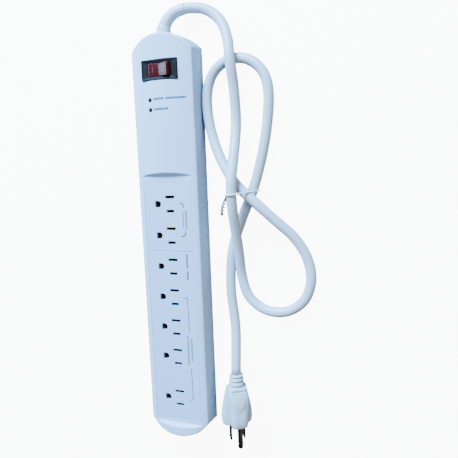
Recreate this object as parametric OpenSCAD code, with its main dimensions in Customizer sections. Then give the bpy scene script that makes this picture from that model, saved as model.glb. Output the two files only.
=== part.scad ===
// Seven outlet surge protector strip with a lit rocker switch, two lamps, a round cord and a
// three prong plug. The strip lies on its back: X runs across it, Y along it towards the cord,
// Z up out of the outlet face. The origin is on the floor, under the middle of the strip.

/* [Case] */
// Length of the case, end to end
body_l = 368; // [344:2:400]
// Width of the case at its base
body_w = 60; // [60:1:66]
// Height of the flat outlet face above the base
face_z = 22; // [22:0.5:26]
// Length of the hood, from the cord end to the foot of its slope
hood_l = 123; // [119:1:130]
// Rise of the crowned hood above the outlet face
crown_h = 3.8; // [3:0.2:5]
// Width of the sloping rail on each side of the crown
rail_w = 5.7; // [5:0.1:6.5]
// Lean of each side wall from base to face
draft = 1; // [0.4:0.1:1.4]
// Plan radius of the two rounded ends
end_r = 40; // [36:1:60]
// Thickness of the moulded walls
wall = 2.2; // [1.8:0.1:2.4]
// Rounding of the long upper edges
corner_r = 2; // [1:0.25:3]
// Height of the seam between cover and base
seam_z = 4; // [3.5:0.25:5]
// Height of the register lip of the base inside the cover
lip_h = 2; // [1:0.5:2.5]
// Gap between parts that fit together
gap = 0.2; // [0.1:0.05:0.3]

/* [Outlet panel] */
// Width of the outlet panel
panel_w = 46.5; // [44:0.5:48]
// Level rim between the panel and the slopes at its ends
rim_l = 4.2; // [3:0.2:6]
// Plan angle of the slopes that end the hood and the end cap
slope_a = 50; // [40:1:60]
// Distance from the first outlet to the panel's upper edge
panel_top = 20.4; // [18:0.2:24]
// Distance from the last outlet to the panel's lower edge
panel_end = 20; // [18:0.2:24]
// Depth of the dividing groove across the panel
groove_d = 0.5; // [0.3:0.1:0.8]
// Width of the dividing groove
groove_w = 0.7; // [0.5:0.1:1]

/* [Outlets] */
// Distance from the lower end to the last outlet
last_in = 38.2; // [36:0.2:42]
// Gap before the last outlet, counted in pitches of the others
last_gap = 1.415; // [1.3:0.005:1.45]
// Place of the blade slots across the strip
slot_x = 2.2; // [1:0.2:3]
// Distance between the two blade slots
blade_gap = 12.7; // [12.7:0.1:12.7]
// Distance from the blade slots to the ground hole
ground_gap = 11.9; // [11.9:0.1:11.9]
// Length of the neutral slot
neutral_l = 9; // [8.2:0.1:9.4]
// Length of the line slot
line_l = 7.4; // [6.8:0.1:8]
// Width of both blade slots
slot_w = 2.6; // [2:0.1:3]
// Width of the ground hole
ground_w = 5.8; // [5.2:0.1:6.4]

/* [Contacts] */
// Thickness of the contact strips
strip_t = 0.8; // [0.6:0.1:1.2]
// Height of the contact strips' underside
strip_z = 8.2; // [7.6:0.2:8.6]
// Width of the contact strips
strip_w = 3; // [2:0.2:3.2]
// Height of the spring clips
clip_h = 9.6; // [8:0.2:10]

/* [Switch] */
// Distance from the cord end to the middle of the switch
switch_in = 32; // [30:0.5:36]
// Length of the switch bezel, across the strip
bezel_l = 34; // [32:0.5:38]
// Width of the switch bezel
bezel_w = 17.4; // [16:0.2:20]
// Thickness of the bezel flange
bezel_t = 1.6; // [1.2:0.1:2]
// Length of the rocker
rocker_l = 22; // [20:0.5:24]
// Width of the rocker
rocker_w = 11; // [10:0.2:12]
// Tilt of the rocker to each side of level
rocker_tilt = 10; // [8:0.5:12]
// Radius of the rocker's pivot pins
pivot_r = 1.5; // [1.2:0.05:1.8]
// Radial running clearance of the pivot pins
pivot_gap = 0.05; // [0.03:0.01:0.08]
// Depth of the switch housing below its flange
switch_d = 16; // [15.5:0.25:17]

/* [Lamps] */
// Diameter of the lamps
lamp_d = 3; // [2.6:0.1:3.4]
// Distance from the side of the case to the lamps
lamp_side = 19.9; // [18:0.1:22]
// Distance from the cord end to the upper lamp
lamp_in = 56.8; // [54:0.2:60]
// Distance between the two lamps
lamp_pitch = 8.4; // [8:0.2:12]

/* [Circuit board] */
// Width of the circuit board
board_w = 32; // [30:1:34]
// Thickness of the circuit board
board_t = 1.6; // [1.2:0.1:2]
// Height of the board's underside
board_z = 9; // [8:0.5:9.5]

/* [Fasteners and hanging slots] */
// Outer radius of the screw posts
post_r = 3.2; // [3:0.1:3.6]
// Radius of the screw shanks
screw_r = 1.5; // [1.2:0.1:1.8]
// Radius of the screw heads
head_r = 2.8; // [2.4:0.1:3]
// Distance from each end to its hanging slot
hang_in = 68; // [64:1:72]
// Radius of the hanging slots' round mouth
hang_r = 4.2; // [3.8:0.1:4.6]
// Width of the hanging slots' neck
hang_neck = 4.6; // [4.4:0.1:5]
// Length of the hanging slots' neck
hang_l = 9; // [8:0.5:11]

/* [Cord and plug] */
// Diameter of the cord
cord_d = 9; // [8:0.1:9.2]
// Height at which the cord leaves the case
gland_z = 12.6; // [12.5:0.1:13.5]
// Radius of the strain relief where it passes the case
gland_r = 6.4; // [6:0.1:7]
// Length of the strain relief inside the case
gland_in = 15; // [15:0.5:16]
// Width of the plug body across the blades
plug_w = 29; // [27:0.5:31]
// Length of the plug body from its face to its shoulder
plug_l = 33; // [31:0.5:34]
// Length of the plug's ribbed strain relief
relief_l = 15; // [14:0.5:16]
// Length of the plug blades
blade_l = 17; // [16:0.5:18.5]
// Width of the plug blades
blade_w = 6.3; // [6.3:0.1:6.3]
// Thickness of the plug blades
blade_t = 1.5; // [1.5:0.1:1.5]
// Length of the plug's ground pin
pin_l = 20.2; // [19:0.1:21]
// Radius of the plug's ground pin
pin_r = 2.4; // [2.4:0.1:2.4]
// Thickness of the twist tie
tie_d = 1.3; // [1:0.1:1.4]

/* [Hidden] */

// Overlap that keeps cuts and joined forms clear of shared faces
eps = 0.01;
// Reach of cuts that run right through
far = 60;

// The crown is an arc that meets the level of the outlet face at the rails
crown_top = face_z + crown_h;
crown_half = body_w / 2 - rail_w;
crown_r = (crown_half * crown_half + crown_h * crown_h) / (2 * crown_h);
crown_zc = crown_top - crown_r;
lean = atan(draft / face_z);
end_y = body_l / 2;
end_yc = end_y - end_r;
function crown_at(x) = crown_zc + sqrt(crown_r * crown_r - x * x);

// The outlets share the length between the hood and the lower end in equal pitches
level_y1 = end_y - hood_l;
panel_y1 = level_y1 - rim_l;
outlet_y = panel_y1 - panel_top;
pitch = (outlet_y + end_y - last_in) / (5 + last_gap);
OUTLETS = [for (i = [0:6]) outlet_y - pitch * (i < 6 ? i : 5 + last_gap)];
panel_y0 = OUTLETS[6] - panel_end;
panel_l = panel_y1 - panel_y0;
panel_yc = (panel_y1 + panel_y0) / 2;
level_y0 = panel_y0 - rim_l;
slope_l = crown_h / tan(slope_a);
panel_seat_z = face_z - wall;
flange_side = 0.7;
flange_end = 2.6;
flange_t = 1.6;

// Spring clips: blade clips and round pin clips
clip_t = 0.5;
clip_gap = 1.5;
pin_gap = 4.4;
pin_clip_l = 5;
clip_z = strip_z + clip_h;
neutral_x = slot_x + neutral_l / 2 + 1.5;
line_x = slot_x - neutral_l / 2 - strip_w - 0.7;
ground_x = slot_x - ground_gap - 8.2;
bus_end = 6;
pad_l = 4;
// Each line run reaches up to its lead, a share of a pitch above its first outlet
feed_always_on = 0.37 * pitch;
feed_control = 0.4 * pitch;
feed_switched = 0.1 * pitch;

// Switch seat: a level pocket in the crown takes the bezel flange
switch_y = end_y - switch_in;
lamp_x = lamp_side - body_w / 2;
lamp_y = end_y - lamp_in;
seat_z = crown_at(bezel_l / 2);
bezel_z = seat_z + bezel_t;
housing_l = rocker_l + 8;
housing_w = rocker_w + 3;
housing_z = seat_z - switch_d;
pivot_z = bezel_z - 4.1;
rocker_r = rocker_l / 2;
well_l = rocker_l + 2 * gap;
well_w = rocker_w + 2 * gap;

// The circuit board fills the space between the switch and the hood's foot
board_y1 = switch_y - housing_w / 2 - 7;
board_y0 = level_y1 + 11;
board_l = board_y1 - board_y0;
// The lamps stand on the board, this far from its outer side
lamp_inset = 11.9;
board_x0 = lamp_x - lamp_inset;
board_top = board_z + board_t;
// Relay, current sensor, capacitor and fuse stand in a row with equal spaces between them
ROW = [19, 15.2, 7, 3.8];
function row_sum(n) = n > 0 ? ROW[n - 1] + row_sum(n - 1) : 0;
row_space = (board_l - row_sum(4)) / 5;
function row_y(i) = board_y0 + row_space * (i + 1) + row_sum(i) + ROW[i] / 2;

// Screw posts: two beside the gland, one under the hood, two at the sides, one at the end
side_post_y = (OUTLETS[3] + OUTLETS[4]) / 2;
SCREWS = [[body_w / 2 - 10, end_y - 18], [10 - body_w / 2, end_y - 18], [0, level_y1 + 4.5],
    [body_w / 2 - 5.2, side_post_y], [5.2 - body_w / 2, side_post_y], [0, level_y0 - 5.5]];
post_split = 8;
side_post_z = panel_seat_z - flange_t - 0.6;
head_h = 1.2;
screw_bite = 5;

// Plug: its face looks along -Y, and it lies rolled to one side
PLUG = [body_w / 2 + 26, end_y - 351, 13.4];
plug_roll = 33;
blade_v = -3.6;
pin_v = blade_v + 11.9;

// The strain relief bends from the end wall towards the cord: distance from the strip's middle,
// distance out from its cord end, and drop below the gland
BOOT = [[0, -3.4, 0], [0, 1, 0], [1.2, 6.2, 0.4], [4.8, 11.8, 1], [11, 16.6, 2.2], [20, 19, 3.6]];
boot_path = [for (p = BOOT) [p[0], end_y + p[1], gland_z - p[2]]];
boot_end = boot_path[len(BOOT) - 1];

// The cord's route over the floor, chosen point by point: distance out from the strip's side,
// distance from its cord end, and height
ROUTE = [[6.5, 17, 6], [20.3, 6.3, 6.2], [27.8, -10, 10.8], [30.8, -28.5, 14.6], [32, -52, 10.4],
    [32.3, -81, 8.8], [32.2, -109, 18], [31.9, -130, 25.2], [31.7, -150, 23.8], [31.6, -170, 17.4],
    [31.6, -191, 10.2], [31.8, -212.5, 5.2], [37.6, -231.8, 4.6], [53.3, -243.8, 4.6],
    [72.7, -243.8, 4.6], [88.3, -232.3, 4.6], [94.2, -213.6, 4.6], [90.6, -194.5, 5],
    [80.5, -177.5, 7.4], [66.5, -163.5, 11.6], [50.5, -148, 15.4], [32.5, -131, 15.2],
    [18, -110, 10.1], [9.3, -90, 5.8], [5.4, -71.5, 4.7], [5.3, -53, 4.6], [11, -36.8, 4.6],
    [24.6, -26.8, 4.6], [41.3, -26.8, 4.6], [54.8, -36.8, 4.6], [60.4, -53.2, 4.6], [59, -79, 4.6],
    [53.8, -107, 5], [45.4, -136, 6.2], [34, -161.5, 5], [23.6, -191, 4.6], [20.8, -226, 4.6],
    [24.6, -262, 6.4], [26, -303, 13.4]];
CORD = concat([boot_end], [for (p = ROUTE) [body_w / 2 + p[0], end_y + p[1], p[2]]]);
// Direction in which the strain relief ends and the cord begins
join_dir = (CORD[1] - boot_path[len(BOOT) - 2]) / norm(CORD[1] - boot_path[len(BOOT) - 2]);

// The twist tie lies on three strands where they meet: the X and Z of each strand, and the
// angles between which the wire lies on it
TIE_STRANDS = [[44.9, 6.1, -142, 26], [40.5, 15.4, 26, 46], [31.9, 24.5, 46, 218]];
// The strands pass the tie at a slant, which draws its turn out across the strip
tie_slant = 1.18;
tie_reach = (cord_d + tie_d) / 2 + 0.1;
tie_turn = [for (s = TIE_STRANDS, k = [0:round((s[3] - s[2]) / 24)])
    let (a = s[2] + (s[3] - s[2]) * k / round((s[3] - s[2]) / 24),
        x = s[0] + tie_slant * tie_reach * cos(a))
    [x, 0.12 * (x - 36) - 139, s[1] + tie_reach * sin(a)]];
// Its two ends are twisted together from the knot to the tip
TIE_KNOT = [26, -141.4, 20];
TIE_TIP = [16.2, -159, 8.6];
tie_steps = 18;
tie_dir = (TIE_TIP - TIE_KNOT) / norm(TIE_TIP - TIE_KNOT);
tie_u = cross(tie_dir, [0, 0, 1]) / norm(cross(tie_dir, [0, 0, 1]));
tie_v = cross(tie_u, tie_dir);
function tie_tail(phase) = [for (k = [1:tie_steps])
    let (t = k / tie_steps, a = phase + 1080 * t)
    TIE_KNOT + t * (TIE_TIP - TIE_KNOT) + (tie_d / 2 + 0.15) * (cos(a) * tie_u + sin(a) * tie_v)];
function reversed(list) = [for (k = [len(list) - 1:-1:0]) list[k]];
TIE = [for (p = concat(reversed(tie_tail(300)), tie_turn, tie_tail(120)))
    p + [body_w / 2, end_y, 0]];

// Routes of the insulated leads inside the case; two run along the side walls
lead_d = 2.4;
lead_y = end_y - gland_in;
right_x = body_w / 2 - 8;
left_x = 5.6 - body_w / 2;
term_z = housing_z - 2.2;
edge_z = board_z + board_t / 2;
strip_mid = strip_z + strip_t / 2;
line_mid = line_x + strip_w / 2;
LINE = [[0, lead_y, gland_z + 2.6], [3, lead_y - 3, gland_z], [7, lead_y - 7, 8.6],
    [9, switch_y + 6.4, 6.2], [9, switch_y + 3.2, term_z]];
NEUTRAL = [[2.4, lead_y, gland_z - 2], [9, lead_y - 4, 7], [right_x - 5, switch_y + 6, 5],
    [right_x - 0.5, board_y1 + 6, 4.6], [right_x, board_y1 - 18, 4.6],
    [right_x, board_y0 + 24, 4.6], [right_x - 1, board_y0 + 6, 5],
    [right_x - 6, level_y1 + 5, 6], [neutral_x + 3.2, level_y1 - 5, 8.2],
    [neutral_x + strip_w / 2, outlet_y + 9.4, strip_mid]];
GROUND = [[-2.4, lead_y, gland_z - 2], [-9, lead_y - 4, 7], [left_x + 7.4, switch_y + 6, 5],
    [left_x + 1.4, board_y1 + 6, 4.6], [left_x, board_y1 - 18, 4.6],
    [left_x, board_y0 + 24, 4.6], [left_x + 0.4, board_y0 + 6, 5],
    [left_x + 3.4, level_y1 + 1, 6.6], [ground_x + 0.5, level_y1 - 11, 8.4],
    [ground_x + strip_w / 2, outlet_y + bus_end + 0.1, strip_mid]];
SWITCH = [[3, switch_y - 3.2, term_z], [3, switch_y - 7, 6.6], [3, board_y1 + 3.4, 8.8],
    [3, board_y1 + 0.1, edge_z]];
ALWAYS_ON = [[-5, board_y0 - 0.1, edge_z], [-5, board_y0 - 6, 9.2], [-5, level_y1 - 3, 8.6],
    [line_mid, outlet_y + feed_always_on + 0.1, strip_mid]];
CONTROL = [[6, board_y0 - 0.1, edge_z], [6.2, board_y0 - 6, 7.6], [4.4, level_y1 - 9, 5.4],
    [2, outlet_y - 2.4, 5], [0.8, OUTLETS[1] + 4, 5], [0.6, OUTLETS[1] - 0.28 * pitch, 5.2],
    [-2.6, OUTLETS[1] - 0.46 * pitch, 6.6],
    [line_mid, OUTLETS[2] + feed_control + 0.1, strip_mid]];
SWITCHED = [[9.4, board_y0 - 0.1, edge_z], [9.8, board_y0 - 6, 6.8], [7.4, level_y1 - 9, 5],
    [5.6, outlet_y - 2.4, 5], [4.4, OUTLETS[1] + 4, 5], [3, OUTLETS[2] + 0.37 * pitch, 5],
    [-1, OUTLETS[3] + 0.59 * pitch, 5], [-4.2, OUTLETS[3] + 0.31 * pitch, 7],
    [line_mid, OUTLETS[3] + feed_switched + 0.1, strip_mid]];

// Direction of a route at one of its points
function heading(path, i) =
    let (a = path[max(i - 1, 0)], b = path[min(i + 1, len(path) - 1)]) (b - a) / norm(b - a);

// A smooth curve through the points of a route, with n steps between points
function smooth(path, n) =
    let (last = len(path) - 1)
    [for (i = [0:last - 1], k = [0:n - 1])
        let (a = path[max(i - 1, 0)], b = path[i], c = path[i + 1], d = path[min(i + 2, last)],
            t = k / n)
        (2 * b + (c - a) * t + (2 * a - 5 * b + 4 * c - d) * t * t
            + (3 * b - a - 3 * c + d) * t * t * t) / 2,
        path[last]];

// One ring of a tube: a circle square to the route, started from a fixed direction
function ring(p, dir, r, sides, ref) =
    let (side = cross(dir, ref) / norm(cross(dir, ref)), up = cross(side, dir))
    [for (k = [0:sides - 1]) p + r * (cos(360 * k / sides) * side + sin(360 * k / sides) * up)];

// A round tube swept along a route as one closed skin, its end diameters d and d_end; its two
// end faces look along start and stop where those are set
module tube(path, d, sides, d_end = 0, ref = [0, 0, 1], start = [], stop = []) {
    last = len(path) - 1;
    grow = d_end > 0 ? d_end - d : 0;
    points = [for (i = [0:last])
        let (dir = i == 0 && len(start) > 0 ? start : i == last && len(stop) > 0 ? stop
            : heading(path, i))
        each ring(path[i], dir, (d + grow * i / last) / 2, sides, ref)];
    walls = [for (i = [0:last - 1], k = [0:sides - 1])
        let (a = i * sides + k, b = i * sides + (k + 1) % sides)
        each [[a, b, b + sides], [a, b + sides, a + sides]]];
    first_face = [[for (k = [sides - 1:-1:0]) k]];
    last_face = [[for (k = [0:sides - 1]) last * sides + k]];
    polyhedron(points = points, faces = concat(walls, first_face, last_face), convexity = 10);
}

// Outline across the strip, drawn in X and Z: leaning walls under a crowned top
module case_section(inset) {
    foot = body_w / 2 - inset;
    top = foot - (crown_top + 1) * tan(lean);
    intersection() {
        polygon([[-foot, 0], [foot, 0], [top, crown_top + 1], [-top, crown_top + 1]]);
        translate([0, crown_zc]) circle(r = crown_r - inset, $fn = 240);
    }
}

// What the rounding takes off each long upper edge, tangent to the wall and the crown
module corner_trim() {
    r = corner_r;
    foot = body_w / 2 - r / cos(lean);
    slant = tan(lean);
    qb = foot * slant + crown_zc;
    qc = foot * foot + crown_zc * crown_zc - (crown_r - r) * (crown_r - r);
    cz = (qb + sqrt(qb * qb - (1 + slant * slant) * qc)) / (1 + slant * slant);
    cx = foot - slant * cz;
    out = [cx, cz - crown_zc] / norm([cx, cz - crown_zc]);
    for (s = [-1, 1]) scale([s, 1]) difference() {
        polygon([[cx, cz], [cx + r * cos(lean), cz + r * sin(lean)], [cx + 3 * r, cz + 3 * r],
            [cx, cz] + r * out]);
        translate([cx, cz]) circle(r = r, $fn = 48);
    }
}

// Outline of one rounded end as a turned form; rim rounds its upper edge
module end_turn(inset, rim) {
    foot = end_r - inset;
    top_z = crown_top - inset + 0.04;
    rim_x = foot - top_z * tan(lean) - rim;
    rotate_extrude($fn = 180) {
        polygon([[0, 0], [foot, 0], [rim_x + rim, top_z - rim], [rim_x, top_z - rim], [rim_x, top_z],
            [0, top_z]]);
        if (rim > 0) intersection() {
            translate([rim_x, top_z - rim]) circle(r = rim, $fn = 48);
            translate([0, top_z - rim - eps]) square([end_r, rim + 1]);
        }
    }
}

// The case's outer form
module case_form() {
    intersection() {
        rotate([90, 0, 0]) linear_extrude(height = body_l, center = true) difference() {
            case_section(0);
            corner_trim();
        }
        union() {
            for (s = [-1, 1]) translate([0, s * end_yc, 0]) end_turn(0, corner_r);
            translate([-body_w, -end_yc, 0]) cube([2 * body_w, 2 * end_yc, far]);
        }
    }
}

// The case's form with its walls moved in, for the hollow inside
module case_inner(inset) {
    intersection() {
        rotate([90, 0, 0]) linear_extrude(height = body_l, center = true) case_section(inset);
        union() {
            for (s = [-1, 1]) translate([0, s * end_yc, 0]) end_turn(inset, 0);
            translate([-body_w, -end_yc, 0]) cube([2 * body_w, 2 * end_yc, far]);
        }
    }
}

// Everything between two heights
module slab(z0, z1) {
    translate([-body_w, -body_l, z0]) cube([2 * body_w, 2 * body_l, z1 - z0]);
}

// A block centred on X and Y, standing on a height
module block(x, y, z, size) {
    translate([x - size[0] / 2, y - size[1] / 2, z]) cube(size);
}

// Level recess between the hood and the end cap, with a slope at each end; drop moves its
// faces into the material, for the underside of the wall
module level_cut(drop) {
    foot = drop * tan(slope_a / 2);
    low = face_z - drop;
    rise = crown_h + 1 + drop;
    run = foot + rise / tan(slope_a);
    rotate([90, 0, 90]) linear_extrude(height = 2 * body_w, center = true)
        polygon([[level_y0 - foot, low], [level_y1 + foot, low], [level_y1 + run, low + rise],
            [level_y0 - run, low + rise]]);
}

// D shaped ground hole: flat on the outer side, round towards the blades
module ground_shape(grow) {
    r = ground_w / 2 + grow;
    circle(r = r, $fn = 48);
    translate([-r, -r]) square([r, 2 * r]);
}

module top_cover() {
    color("#e4ecf6") {
        difference() {
            union() {
                difference() {
                    case_form();
                    difference() {
                        case_inner(wall);
                        level_cut(wall);
                    }
                    slab(-1, seam_z);
                }
                intersection() {
                    case_inner(wall - eps);
                    block(0, switch_y, seat_z - 2, [bezel_l + 4, bezel_w + 4, 4]);
                }
                intersection() {
                    case_inner(wall - eps);
                    for (i = [0:5]) {
                        side = i == 3 || i == 4;
                        post_top = side ? side_post_z : crown_top;
                        translate([SCREWS[i][0], SCREWS[i][1], post_split])
                            cylinder(r = post_r, h = post_top - post_split, $fn = 48);
                    }
                }
            }
            level_cut(0);
            block(0, panel_yc, panel_seat_z - 2, [panel_w, panel_l, 10]);
            block(0, switch_y, seat_z, [bezel_l + gap, bezel_w + gap, 10]);
            block(0, switch_y, seat_z - 10, [housing_l + gap, housing_w + gap, 20]);
            for (i = [0, 1]) translate([lamp_x, lamp_y - i * lamp_pitch, face_z - wall])
                cylinder(r = lamp_d / 2 + 0.15, h = 20, $fn = 48);
            translate([0, end_y - 10, gland_z]) rotate([-90, 0, 0])
                cylinder(r = gland_r + 0.05, h = 20, $fn = 64);
            for (p = SCREWS) translate([p[0], p[1], post_split - eps])
                cylinder(r = screw_r, h = 8, $fn = 32);
        }
    }
}

// A hanging slot: a round mouth for the screw head and a neck towards the cord end
module hang_cut(y) {
    translate([0, y, -1]) cylinder(r = hang_r, h = wall + 2, $fn = 48);
    block(0, y + hang_l / 2, -1, [hang_neck, hang_l, wall + 2]);
    translate([0, y + hang_l, -1]) cylinder(r = hang_neck / 2, h = wall + 2, $fn = 48);
}

module base_shell() {
    hang_y = end_y - hang_in;
    cup_l = hang_l + 2 * hang_r + 3;
    cup_w = 2 * hang_r + 1;
    color("#d5deea") difference() {
        union() {
            difference() {
                union() {
                    intersection() {
                        case_form();
                        slab(0, seam_z);
                    }
                    intersection() {
                        case_inner(wall + gap);
                        slab(wall, seam_z + lip_h);
                    }
                }
                intersection() {
                    case_inner(wall + gap + 1);
                    slab(wall, far);
                }
            }
            intersection() {
                case_inner(wall + gap);
                for (p = SCREWS) translate([p[0], p[1], wall - eps])
                    cylinder(r = post_r, h = post_split - wall, $fn = 48);
            }
            for (s = [-1, 1]) block(0, s * hang_y + hang_l / 2, wall - eps,
                [cup_w + 2, cup_l + 2, 5.2]);
            strip_pads();
            for (x = [board_x0 + 3, board_x0 + board_w - 3], y = [board_y0 + 3, board_y1 - 3])
                translate([x, y, wall - eps]) cylinder(r = 2, h = board_z - wall + eps, $fn = 32);
        }
        for (s = [-1, 1]) {
            hang_cut(s * hang_y);
            block(0, s * hang_y + hang_l / 2, wall - 2 * eps, [cup_w, cup_l, 4.4]);
        }
        for (p = SCREWS) translate([p[0], p[1], -eps]) {
            cylinder(r = head_r + 0.3, h = head_h + 0.8 + 3 * eps, $fn = 48);
            cylinder(r = screw_r + 0.2, h = far, $fn = 32);
        }
    }
}

// Pads that carry the contact strips on the base
module strip_pads() {
    pad_h = strip_z - wall + eps;
    for (i = [0, 2, 4, 6]) {
        y = OUTLETS[i];
        block(neutral_x + strip_w / 2, y, wall - eps, [strip_w, pad_l, pad_h]);
        block(ground_x + strip_w / 2, y - 6, wall - eps, [strip_w, pad_l, pad_h]);
    }
    for (i = [0, 1, 2, 3, 6])
        block(line_x + strip_w / 2, OUTLETS[i] - blade_gap / 2, wall - eps,
            [strip_w, pad_l, pad_h]);
}

// Slots and ground hole of one outlet
module outlet_cut(y) {
    block(slot_x, y + blade_gap / 2, 0, [neutral_l, slot_w, far]);
    block(slot_x, y - blade_gap / 2, 0, [line_l, slot_w, far]);
    translate([slot_x - ground_gap, y, 0]) linear_extrude(height = far) ground_shape(0);
}

// Walled well under one opening, which holds a spring clip
module well(x, y, size, h) {
    difference() {
        block(x, y, panel_seat_z - h, [size[0] + 2, size[1] + 2, h + eps]);
        block(x, y, panel_seat_z - h - 1, [size[0], size[1], h + 2 - eps]);
    }
}

module outlet_panel() {
    well_h = 7.4;
    color("#c9d6ec") difference() {
        union() {
            block(0, panel_yc, panel_seat_z, [panel_w - 2 * gap, panel_l - 2 * gap, wall]);
            difference() {
                block(0, panel_yc, panel_seat_z - flange_t,
                    [panel_w + 2 * flange_side, panel_l + 2 * flange_end, flange_t + 1]);
                slab(panel_seat_z, panel_seat_z + 2);
            }
            block(0, panel_yc, panel_seat_z - flange_t / 2,
                [panel_w - 2 * gap, panel_l - 2 * gap, flange_t]);
            for (y = OUTLETS) {
                well(slot_x, y + blade_gap / 2, [neutral_l + 0.8, 4.6], well_h);
                well(slot_x, y - blade_gap / 2, [line_l + 0.8, 4.6], well_h);
                well(slot_x - ground_gap, y, [pin_gap + 2.2, 6.6], well_h);
            }
        }
        for (y = OUTLETS) outlet_cut(y);
        block(0, (OUTLETS[1] + OUTLETS[2]) / 2, face_z - groove_d,
            [panel_w, groove_w, groove_d + 1]);
    }
}

// Spring clip outline in a plane square to its length: a web and two sprung leaves
module clip_outline(inner) {
    h = clip_h;
    w = inner / 2;
    for (s = [-1, 1]) scale([s, 1]) polygon([[0, 0], [w + clip_t, 0], [w + clip_t, h * 0.3],
        [w + clip_t - 0.2, h * 0.8], [w + clip_t + 0.4, h], [w + 0.4, h], [w - 0.2, h * 0.8],
        [w, h * 0.3], [w, clip_t], [0, clip_t]]);
}

// Clip that grips a blade whose width lies across the strip
module blade_clip(y, length) {
    translate([slot_x, y, strip_z]) rotate([90, 0, 90])
        linear_extrude(height = length, center = true) clip_outline(clip_gap);
}

module neutral_bus() {
    y0 = OUTLETS[6] + blade_gap / 2 - bus_end / 2;
    y1 = OUTLETS[0] + blade_gap / 2 + bus_end / 2;
    color("#c9a24a") {
        translate([neutral_x, y0, strip_z]) cube([strip_w, y1 - y0, strip_t]);
        for (y = OUTLETS) {
            blade_clip(y + blade_gap / 2, neutral_l);
            translate([slot_x, y + blade_gap / 2 - clip_gap / 2, strip_z])
                cube([neutral_x - slot_x + eps, clip_gap, clip_t]);
        }
    }
}

// One run of line contacts, from the first to the last of its outlets, fed from above
module line_run(first, last, feed) {
    y0 = OUTLETS[last] - blade_gap / 2 - bus_end / 2;
    y1 = OUTLETS[first] + feed;
    color("#c9a24a") {
        translate([line_x, y0, strip_z]) cube([strip_w, y1 - y0, strip_t]);
        for (i = [first:last]) {
            y = OUTLETS[i] - blade_gap / 2;
            blade_clip(y, line_l);
            translate([line_x + strip_w - eps, y - clip_gap / 2, strip_z])
                cube([slot_x - line_x - strip_w, clip_gap, clip_t]);
        }
    }
}

module always_on_bus() {
    line_run(0, 1, feed_always_on);
}

module control_bus() {
    line_run(2, 2, feed_control);
}

module switched_bus() {
    line_run(3, 6, feed_switched);
}

module ground_bus() {
    y0 = OUTLETS[6] - bus_end;
    y1 = OUTLETS[0] + bus_end;
    gx = slot_x - ground_gap;
    color("#c9a24a") {
        translate([ground_x, y0, strip_z]) cube([strip_w, y1 - y0, strip_t]);
        for (y = OUTLETS) {
            translate([gx, y, strip_z]) rotate([90, 0, 0])
                linear_extrude(height = pin_clip_l, center = true) clip_outline(pin_gap);
            translate([ground_x + strip_w - eps, y - 1.5, strip_z])
                cube([gx - ground_x - strip_w - pin_gap / 2, 3, clip_t]);
        }
    }
}

module circuit_board() {
    color("#1f5a35") difference() {
        translate([board_x0, board_y0, board_z]) cube([board_w, board_l, board_t]);
        for (x = [board_x0 + 3, board_x0 + board_w - 3], y = [board_y0 + 10, board_y1 - 10])
            translate([x, y, board_z - 1]) cylinder(r = 1.2, h = board_t + 2, $fn = 24);
    }
}

// Disc varistors that stand on the board on edge, with their wire legs
module varistors() {
    r = 5;
    for (i = [0:2]) translate([board_x0 + 7, board_y0 + board_l * (0.2 + 0.14 * i), board_top + r + 1])
        color("#2b6cb0") {
            rotate([90, 0, 0]) cylinder(r = r, h = 4.2, center = true, $fn = 48);
            for (s = [-1, 1]) translate([s * 3, 0, -r - 1])
                cylinder(r = 0.4, h = r, $fn = 16);
        }
}

module relay() {
    color("#20242c") block(board_x0 + 23, row_y(0), board_top, [14, ROW[0], 11]);
}

module current_sensor() {
    color("#3a3f47") translate([board_x0 + 23, row_y(1), board_top + 3])
        rotate_extrude($fn = 64) translate([ROW[1] / 2 - 3, 0]) circle(r = 3, $fn = 32);
}

module filter_capacitor() {
    color("#d8a93a") block(board_x0 + 23, row_y(2), board_top, [16, ROW[2], 10]);
}

module thermal_fuse() {
    color("#9aa2ad") translate([board_x0 + 18, row_y(3), board_top + ROW[3] / 2])
        rotate([0, 90, 0]) cylinder(r = ROW[3] / 2, h = 11, $fn = 32);
}

// A small domed lamp on two wire legs, its tip just under the crown
module lamp(y, tint) {
    tip = crown_at(lamp_x) - 0.5;
    color(tint) translate([lamp_x, y, 0]) {
        translate([0, 0, tip - 5]) cylinder(r = lamp_d / 2, h = 5 - lamp_d / 2, $fn = 32);
        translate([0, 0, tip - lamp_d / 2]) sphere(r = lamp_d / 2, $fn = 32);
        translate([0, 0, tip - 6]) cylinder(r = lamp_d / 2 + 0.4, h = 1 + eps, $fn = 32);
        for (s = [-1, 1]) block(s * 0.9, 0, board_top, [0.5, 0.5, tip - 6 - board_top + eps]);
    }
}

module protection_lamp() {
    lamp(lamp_y, "#20242a");
}

module ground_lamp() {
    lamp(lamp_y - lamp_pitch, "#20242a");
}

module switch_housing() {
    color("#23272e") difference() {
        union() {
            block(0, switch_y, seat_z, [bezel_l, bezel_w, bezel_t]);
            block(0, switch_y, housing_z, [housing_l, housing_w, switch_d + eps]);
        }
        block(0, switch_y, housing_z + 3, [well_l, well_w, far]);
        translate([0, switch_y, pivot_z]) rotate([90, 0, 0])
            cylinder(r = pivot_r + pivot_gap, h = well_w + 2, center = true, $fn = 48);
    }
}

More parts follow.
